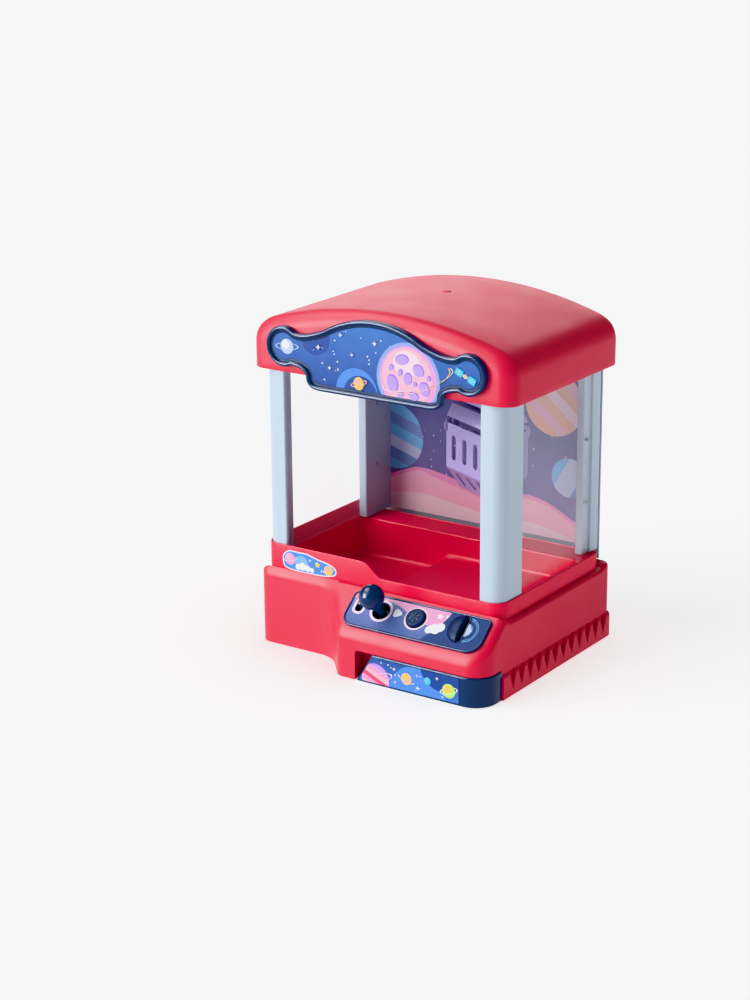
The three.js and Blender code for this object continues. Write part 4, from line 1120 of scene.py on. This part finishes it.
def make_control_plate():
    bead = PLATE.bead
    rings = [at_height(plate_outline(0), 0.3), at_height(plate_outline(0), 1.6)]
    for k in range(1, 8):
        turn = math.radians(180 * k / 8)
        rings.append(at_height(plate_outline(bead * (1 - math.cos(turn))), 1.6 + bead * math.sin(turn)))
    rings.append(at_height(plate_outline(2.0), 1.5))
    plate = mesh_object("control_plate_moulding", *loft(rings), NAVY, map_point=on_panel)
    outline = plate_outline(2.15)
    ground = graded_ink("control_ground", (0.055, 0.095, 0.27), (0.13, 0.20, 0.44), 0.046, 0.075)
    sheet = mesh_object("control_sheet", *prism(outline, 1.4, 1.75), ground, map_point=on_panel)
    cut_holes(plate)
    cut_holes(sheet)
    smooth_by_angle(plate)
    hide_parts("control_plate")
    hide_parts("control_label")
    control_print(outline)


def control_print(sheet):
    pad = inset(sheet, 0.1)
    night = [(60, -42), (140, -42), (140, 2), (83, 2), (83, -5), (80, -13), (72, -26)]
    ribbon = [(-21, -11), (-8, -9), (8, -6.5), (21.5, -6.6), (30, -9), (38.4, -12.5), (46, -17.5),
              (56, -20), (66, -21.5), (75, -21), (80, -13), (82.6, -6), (81, -3.6), (77, -1), (-21, -1)]
    for name, path, material, top in (("control_night", night, NIGHT_INK, 1.78),
                                      ("control_ribbon", smoothed(ribbon), RIBBON_INK, 1.81)):
        layer = prism(clipped(path, pad), 1.72, top)
        cut_holes(mesh_object(name, *layer, material, map_point=on_panel))
    art = Art(sheet)
    border = around(SWITCH, 6.2, 8.6, 5.4)
    art.band(border, inset(border, 2.2), BLUSH_INK)
    art.hoop(STICK.x, STICK.v, 11.2, 2.1, BLUSH_INK)
    art.hoop(BUTTON.x, BUTTON.v, 11.5, 1.6, BLUSH_INK)
    art.shape(smoothed([(27.6, -10.4), (27.6, -22.2), (38.6, -16.4)], 3), WHITE_INK)
    art.shape(star(73.4, -10.4, 3.3, 5, 0.48, 80), WHITE_INK)
    art.stars(WHITE_INK, 0.4, (80.2, -8.8, 1.5))
    art.discs(WHITE_INK, (68.6, -25.2, 3.6), (73.0, -23.0, 4.8), (78.6, -20.6, 4.3), (75.4, -24.4, 3.6))
    x = COIN.x + COIN.slot / 2 + 0.4
    for radius, width in ((12.2, 0.45), (10.6, 0.35), (6.6, 0.35)):
        art.hoop(x, COIN.v, radius, width, SKY_INK, 1.0, 0, -84, 84, 40)
    art.shape([(x + 0.6, -11), (x + 0.6, -24), (x + 4.6, -21), (x + 6.0, -17), (x + 3.6, -13)], LIGHT_INK)
    art.finish("control_print", map_point=lambda p: on_panel((p[0], p[1], p[2] + 1.81)))


def make_joystick():
    stem = [(0, -12.4), (2.8, -12.4), (3.0, -8), (3.0, -1), (3.6, 2), (4.2, 5.0), (4.9, 8.4), (5.8, 11.0),
            (6.6, 12.8), (7.0, 14.2)]
    ball = arc(0, STICK.ball_z, STICK.ball, math.degrees(math.asin(-0.80)), 90, 26)
    reach, z = ball[5]
    groove = [(reach - 0.05, z + 0.25), (reach + 0.28, z + 0.45)]
    profile = stem + ball[:6] + groove + ball[6:]
    knob = mesh_object("joystick_ball_and_stem", *lathe(profile, STICK.x, STICK.v, 56), NAVY,
                       "joystick", on_panel)
    pin = [(0, -4.9), (0.9, -4.9), (1.1, -4.7), (1.1, 4.7), (0.9, 4.9), (0, 4.9)]
    mesh_object("joystick_pivot_pin", *lathe(pin, steps=16), STEEL, "joystick",
                lambda p: on_panel((STICK.x + p[0], STICK.v + p[2], -9.5 + p[1])), "navy_plastic")
    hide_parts("joystick_knob")


def make_button():
    x, v, radius, top, edge = BUTTON.x, BUTTON.v, BUTTON.radius, BUTTON.top, BUTTON.edge
    profile = [(0, -10.5), (2.5, -10.5), (2.5, -7), (10.6, -7), (10.6, -5.7), (radius, -5.6),
               (radius, top - edge)]
    profile += [(radius - edge * inward, top - edge * down) for inward, down in rounding(8)[1:]]
    profile += [(6.6, top - 0.05), (6.2, top - 0.4), (4.0, top - 0.28), (2.0, top - 0.2), (0, top - 0.18)]
    cap = mesh_object("button_cap", *lathe(profile, x, v, 56), SATIN_NAVY, "push_button", on_panel)
    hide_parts("push_button")
    ray = [(1.3, -0.3), (4.9, -0.5), (5.5, 0), (4.9, 0.5), (1.3, 0.3)]
    rays = [pillow(turned(ray, 90 + 60 * i, x, v), top - 0.9, top + 0.45, 0.3, 3) for i in range(6)]
    # the star's rays are the cap's plastic in a lighter navy: a painted highlight
    mesh_object("button_star", *joined(rays), NAVY_PAINTED_HIGHLIGHT, "push_button", on_panel)


def make_coin_guide():
    """Half a low dome, flat along the slot, and the raised lip on the slot's other side."""
    half, v, disc_radius = COIN.slot / 2, COIN.v, COIN.disc
    x, foot, brim, rise = COIN.x - half - 0.15, 1.6, 0.4, 5.2
    profile = [(0.0, foot), (disc_radius - 0.3, foot)]
    profile += [(disc_radius * px, foot + brim + rise * py) for px, py in arc(0, 0, 1, 0, 90, 10)]
    rows = [[(x + reach * px, v + reach * py, z) for reach, z in profile]
            for px, py in arc(0, 0, 1, 90, 270, 36)]
    guide = mesh_object("coin_guide_moulding", *loft(rows), SATIN_NAVY, map_point=on_panel)
    bevel(guide, 0.3, 2, 50)
    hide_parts("coin_guide")
    lip = rectangle(COIN.x + half + 0.05, COIN.x + half + 1.2, v - 12.6, v + 12.6, 0.5)
    mesh_object("coin_slot_lip", *pillow(lip, foot, foot + 1.1, 0.35, 3), NAVY, map_point=on_panel)


# ---------- coin drawer
def drawer_front_start(z):
    """Where the drawer's slanting left end is, at a height."""
    share = (z - DRAWER.low) / (DRAWER.top - DRAWER.low)
    return DRAWER.left_low + (DRAWER.left_top - DRAWER.left_low) * share


def make_drawer():
    d = DRAWER
    corner, edge, low, top = d.corner, d.edge, d.low, d.top
    bend_x, bend_y = d.side - corner, d.front + corner
    section = [(d.skin, low), (edge * 0.3, low), (0, low + edge * 0.3), (0, top - edge)]
    section += [(edge * inward, top - edge * down) for inward, down in rounding(4)[1:]]
    section += [(d.skin, top)]
    rings = []
    for share in [i / 12 for i in range(13)]:
        starts = [drawer_front_start(z) for _, z in section]
        rings.append([(start + (bend_x - start) * share, d.front + depth, z)
                      for start, (depth, z) in zip(starts, section)])
    for px, py in arc(0, 0, 1, -90, 0, 16)[1:]:
        rings.append([(bend_x + (corner - depth) * px, bend_y + (corner - depth) * py, z)
                      for depth, z in section])
    rings.append([(d.side - depth, d.side_back, z) for depth, z in section])
    front = mesh_object("drawer_front", *loft(rings), NAVY, "coin_drawer")
    bevel(front, 0.35, 2, 50)
    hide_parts("coin_drawer")
    make_drawer_box()
    make_drawer_label()


def make_drawer_box():
    d = DRAWER
    x0, x1, y0, y1 = d.box_left, d.box_right, d.front + d.skin - 0.3, d.box_back
    outer = [(x0, y1), (x0, y0), (x1 - 12, y0), (x1 - 3, y0 + 6), (x1, y0 + 14), (x1, y1)]
    inner = inset(outer, d.box_wall)
    rings = [at_height(outer, d.floor), at_height(outer, d.box_top), at_height(inner, d.box_top),
             at_height(inner, d.floor + d.box_wall)]
    box = mesh_object("drawer_box", *loft(rings), NAVY, "coin_drawer")
    bevel(box, 0.4, 2, 50)


def make_drawer_label():
    sheet = rounded([(4, 3.2, 1), (109, 3.2, 1.2), (109, 26.5, 1.2), (19, 26.5, 2.5)], 6, 8)
    ground = graded_ink("drawer_ground", (0.05, 0.15, 0.48), (0.03, 0.08, 0.30), 0.004, 0.026)
    label = mesh_object("drawer_sheet", *prism(sheet, 0.05, 0.35), ground, "coin_drawer",
                        on_front(DRAWER.front))
    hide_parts("drawer_label")
    art = Art(sheet)
    art.discs(BLUE_INK, (66, -2, 30), clip=True)
    art.discs(DEEP_INK, (92, 34, 24), clip=True)
    art.dots(34, 5, lambda x, z: x > 8 + 0.8 * z, (8, 5), (106, 25))
    art.discs(VIOLET_INK, (22, 7, 15.0), clip=True)
    stripes = (PINK_INK, ROSE_INK, PINK_INK, RED_INK, ROSE_INK, PINK_INK, LILAC_INK)
    art.banded_planet(22, 7, 14.2, stripes, -24)
    art.hoop(22, 7, 19, 0.9, WHITE_INK, 0.24, 22, -60, 80)
    art.ringed_planet((99, 13, 6.6), GREEN_INK, (97.6, 14.6, 4.2), YELLOW_INK,
                      (9.4, 0.9, WHITE_INK, 0.34, 18))
    art.discs(PEACH_INK, (55, 14.5, 5.4))
    art.discs(YELLOW_INK, (53.8, 16, 3.2))
    art.hoop(55, 14.5, 8.8, 0.9, YELLOW_INK, 0.3, -16, 180, 360)
    art.discs(TEAL_INK, (77, 17.5, 3.4))
    art.discs(SKY_INK, (76.2, 18.4, 1.8))
    art.stars(WHITE_INK, 0.32, (42, 21, 1.8), (67, 8.5, 2.2), (87, 22, 1.6), (66, 20, 1.3), (43, 9, 1.4))
    art.finish("drawer_print", "coin_drawer", on_front(DRAWER.front - 0.36))


# ---------- tray sticker
def make_tray_sticker():
    sheet = smoothed([(-107, 79), (-104, 75.6), (-86, 74.4), (-60, 75.2), (-47.5, 78), (-47, 85),
                      (-56, 89), (-70, 91), (-80, 94), (-92, 93.6), (-101, 94.2), (-108, 88)], 3)
    label = mesh_object("tray_sticker_sheet", *prism(sheet, 0.02, 0.3), WHITE_INK,
                        map_point=on_front(TRAY.front))
    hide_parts("tray_sticker")
    art = Art(sheet)
    art.shape(inset(sheet, 1.1), BLUE_INK)
    art.discs(SKY_INK, (-86, 83.5, 7.0))
    art.discs(PINK_INK, (-99, 85.5, 5.6))
    art.discs(ROSE_INK, (-100.4, 87, 3.2))
    art.hoop(-99, 85.5, 7.6, 0.8, WHITE_INK, 0.3, 14, 160, 380)
    art.discs(WHITE_INK, (-90, 79.4, 3.0), (-85, 80.6, 3.8), (-79.5, 79.6, 3.2), (-74.5, 78.8, 2.4))
    art.discs(YELLOW_INK, (-56, 82, 4.6))
    art.discs(PEACH_INK, (-57, 83.2, 2.8))
    art.hoop(-56, 82, 6.6, 0.7, ROSE_INK, 0.32, 20, 150, 390)
    art.shape(star(-68, 85.4, 3.2), YELLOW_INK)
    art.stars(WHITE_INK, 0.35, (-76.5, 88, 1.6), (-63.6, 80, 1.3))
    art.finish("tray_sticker_print", map_point=on_front(TRAY.front - 0.31))


# ---------- claw, screws and inner parts
def make_claw():
    for node, width in (("front_jaw", 0.3), ("rear_jaw", 0.3), ("claw_head", 0.5), ("trolley", 0.7),
                        ("front_jaw_pin", 0.3), ("rear_jaw_pin", 0.3), ("boom", 0.6)):
        softened(node, width, flatten=0.2 if "jaw" in node else 2.0)
    make_lift_cord()


def make_lift_cord():
    """The claw's cord, a thin strand over the height of the CAD cord."""
    low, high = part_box("lift_cord")
    x, y = (low.x + high.x) / 2 / MM, (low.y + high.y) / 2 / MM - SHIFT_Y
    bottom, top = low.z / MM, high.z / MM
    profile = [(CORD_RADIUS, bottom + (top - bottom) * i / 24) for i in range(25)]
    cord = mesh_object("lift_cord_strand", *lathe(profile, x, y, 12), CORD, None)
    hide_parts("lift_cord")
    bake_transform(cord)


def turned_along_x(x, y, z, side):
    """For bodies turned about Z: lays them along X, pointing outwards from a side."""
    return lambda p: (x + side * p[2], y + p[0], z + p[1])


def make_panel_screws():
    """Sunk screws that hold the clear panels, and the pair inside the rear left post."""
    head = [(0, -2.0), (0.9, -2.0), (1.9, -0.1), (1.9, 0.25), (1.7, 0.4), (1.0, 0.45), (0.85, -0.5),
            (0, -0.5)]
    for side, label in ((-1, "left"), (1, "right")):
        for number in (1, 2):
            node = f"{label}_panel_screw_{number}"
            low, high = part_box(node)
            y, z = (low.y + high.y) / 2 / MM - SHIFT_Y, (low.z + high.z) / 2 / MM
            screw = mesh_object(f"{label}_sunk_screw_{number}", *lathe(head, steps=24), STEEL,
                                map_point=turned_along_x(side * PANEL_OUTSIDE, y, z, side))
            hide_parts(node)
            if side < 0:
                mesh_object(f"post_inside_screw_{number}", *lathe(head, steps=24), STEEL,
                            map_point=turned_along_x(-REAR_POST.left[0], y, z, 1))


def make_details():
    for node in ("left_side_panel", "right_side_panel", "ceiling_plate", "back_panel", "base_plate",
                 "battery_cover", "battery_case", "circuit_board", "switch_body", "coin_chute",
                 "joystick_socket", "joystick_gimbal", "swing_gear", "swing_pinion", "winch_drum",
                 "motor_bracket", "swing_motor", "speaker"):
        softened(node, 0.3)
    softened("switch_slider", 0.5, 3, "navy_plastic")
    for name in NODES:
        if name.startswith(("foot_", "battery_1", "battery_2", "battery_3")):
            softened(name, 0.3)
    make_panel_screws()


# ---------- floor, light, camera
def paper(name, grey, roughness, glow):
    """Matt paper with a glow of its own."""
    material, tree, shader = new_material(name)
    tree.links.new(varied_colour(tree, (grey, grey, grey), 0.01, 3), shader.inputs["Base Color"])
    set_inputs(shader, Roughness=roughness, Specular_IOR_Level=0.0, Emission_Color=(1, 1, 1, 1),
               Emission_Strength=glow)
    return material


def paper_sheet(name, points, faces, material):
    """A surface of paper from points in metres."""
    mesh = bpy.data.meshes.new(name)
    mesh.from_pydata(points, [], faces)
    mesh.materials.append(material)
    return linked(name, mesh)


def make_stage():
    r = FLOOR_REACH
    corners = [(-r, -r, 0), (r, -r, 0), (r, r, 0), (-r, r, 0)]
    matt = paper("floor_paper", 0.70, 0.9, LIGHT.paper_glow)
    floor = paper_sheet("floor", corners, [(0, 1, 2, 3)], matt)
    make_wall(r - 1)
    world = bpy.data.worlds.new("studio")
    world.use_nodes = True
    set_inputs(world.node_tree.nodes["Background"], Color=(0.96, 0.97, 1.0, 1), Strength=LIGHT.world)
    bpy.context.scene.world = world


def make_wall(radius):
    """Paper hung round the floor, so that low views have no horizon; it lights nothing."""
    circle = arc(0, 0, radius, 0, 360, 72)[:-1]
    rings = [at_height(circle, -0.01), at_height(circle, WALL_HEIGHT)]
    glowing = paper("wall_paper", 0.02, 1.0, LIGHT.wall_glow)
    wall = paper_sheet("wall", *loft(rings, capped=(False, False)), glowing)
    wall.visible_diffuse = False
    wall.visible_glossy = False
    wall.visible_shadow = False


def aimed(direction):
    return Vector(direction).to_track_quat("-Z", "Y")


def area_light(name, place, size, power, is_sheen=True):
    """A square lamp aimed at the machine; a sheen lamp shows only in reflections. Metres."""
    data = bpy.data.lights.new(name, "AREA")
    data.shape = "SQUARE"
    data.size = size
    data.energy = power
    light = linked(name, data)
    light.location = place
    light.rotation_euler = aimed((CAD_LOW + CAD_HIGH) / 2 - Vector(place)).to_euler()
    light.visible_diffuse = not is_sheen


def make_lights():
    sun = bpy.data.lights.new("key", "SUN")
    sun.energy = LIGHT.key
    sun.angle = math.radians(50)
    linked("key", sun).rotation_euler = aimed((0.55, 0.62, -0.66)).to_euler()
    area_light("front_softbox", (-1.3, -1.9, 0.75), 1.4, LIGHT.front, is_sheen=False)
    area_light("front_sheen", (-1.5, -2.1, 0.66), 1.3, LIGHT.front_sheen)
    area_light("top_sheen", (-1.2, -0.35, 2.0), 1.2, LIGHT.top_sheen)
    area_light("back_sheen", (-1.4, 2.7, 1.5), 2.4, LIGHT.back_sheen)


def make_camera():
    """The camera that sees the machine as the photographer did, from its right and a little above."""
    angles = (CAMERA.azimuth, CAMERA.elevation, CAMERA.roll)
    azimuth, elevation, roll = (math.radians(angle) for angle in angles)
    x, y, z = CAMERA.target
    target = Vector((x, y + SHIFT_Y, z)) * MM
    forward = Vector((-math.sin(azimuth) * math.cos(elevation), math.cos(azimuth) * math.cos(elevation),
                      -math.sin(elevation)))
    camera = bpy.data.cameras.new("camera")
    camera.sensor_fit = "AUTO"
    camera.sensor_width = CAMERA.sensor
    camera.lens = CAMERA.lens
    camera.clip_start = 0.05
    camera.clip_end = 60.0
    stand = linked("camera", camera)
    turn = aimed(forward).to_matrix() @ Matrix.Rotation(roll, 3, "Z")
    stand.matrix_world = Matrix.Translation(target - forward * CAMERA.distance * MM) @ turn.to_4x4()
    bpy.context.scene.camera = stand


finish_plain_nodes()
make_roof()
make_marquee()
make_base()
make_tray()
make_posts()
make_backdrop()
make_control_plate()
make_joystick()
make_button()
make_coin_guide()
make_drawer()
make_tray_sticker()
make_claw()
make_details()
make_stage()
make_lights()
make_camera()
bpy.context.scene.view_settings.view_transform = "Khronos PBR Neutral"
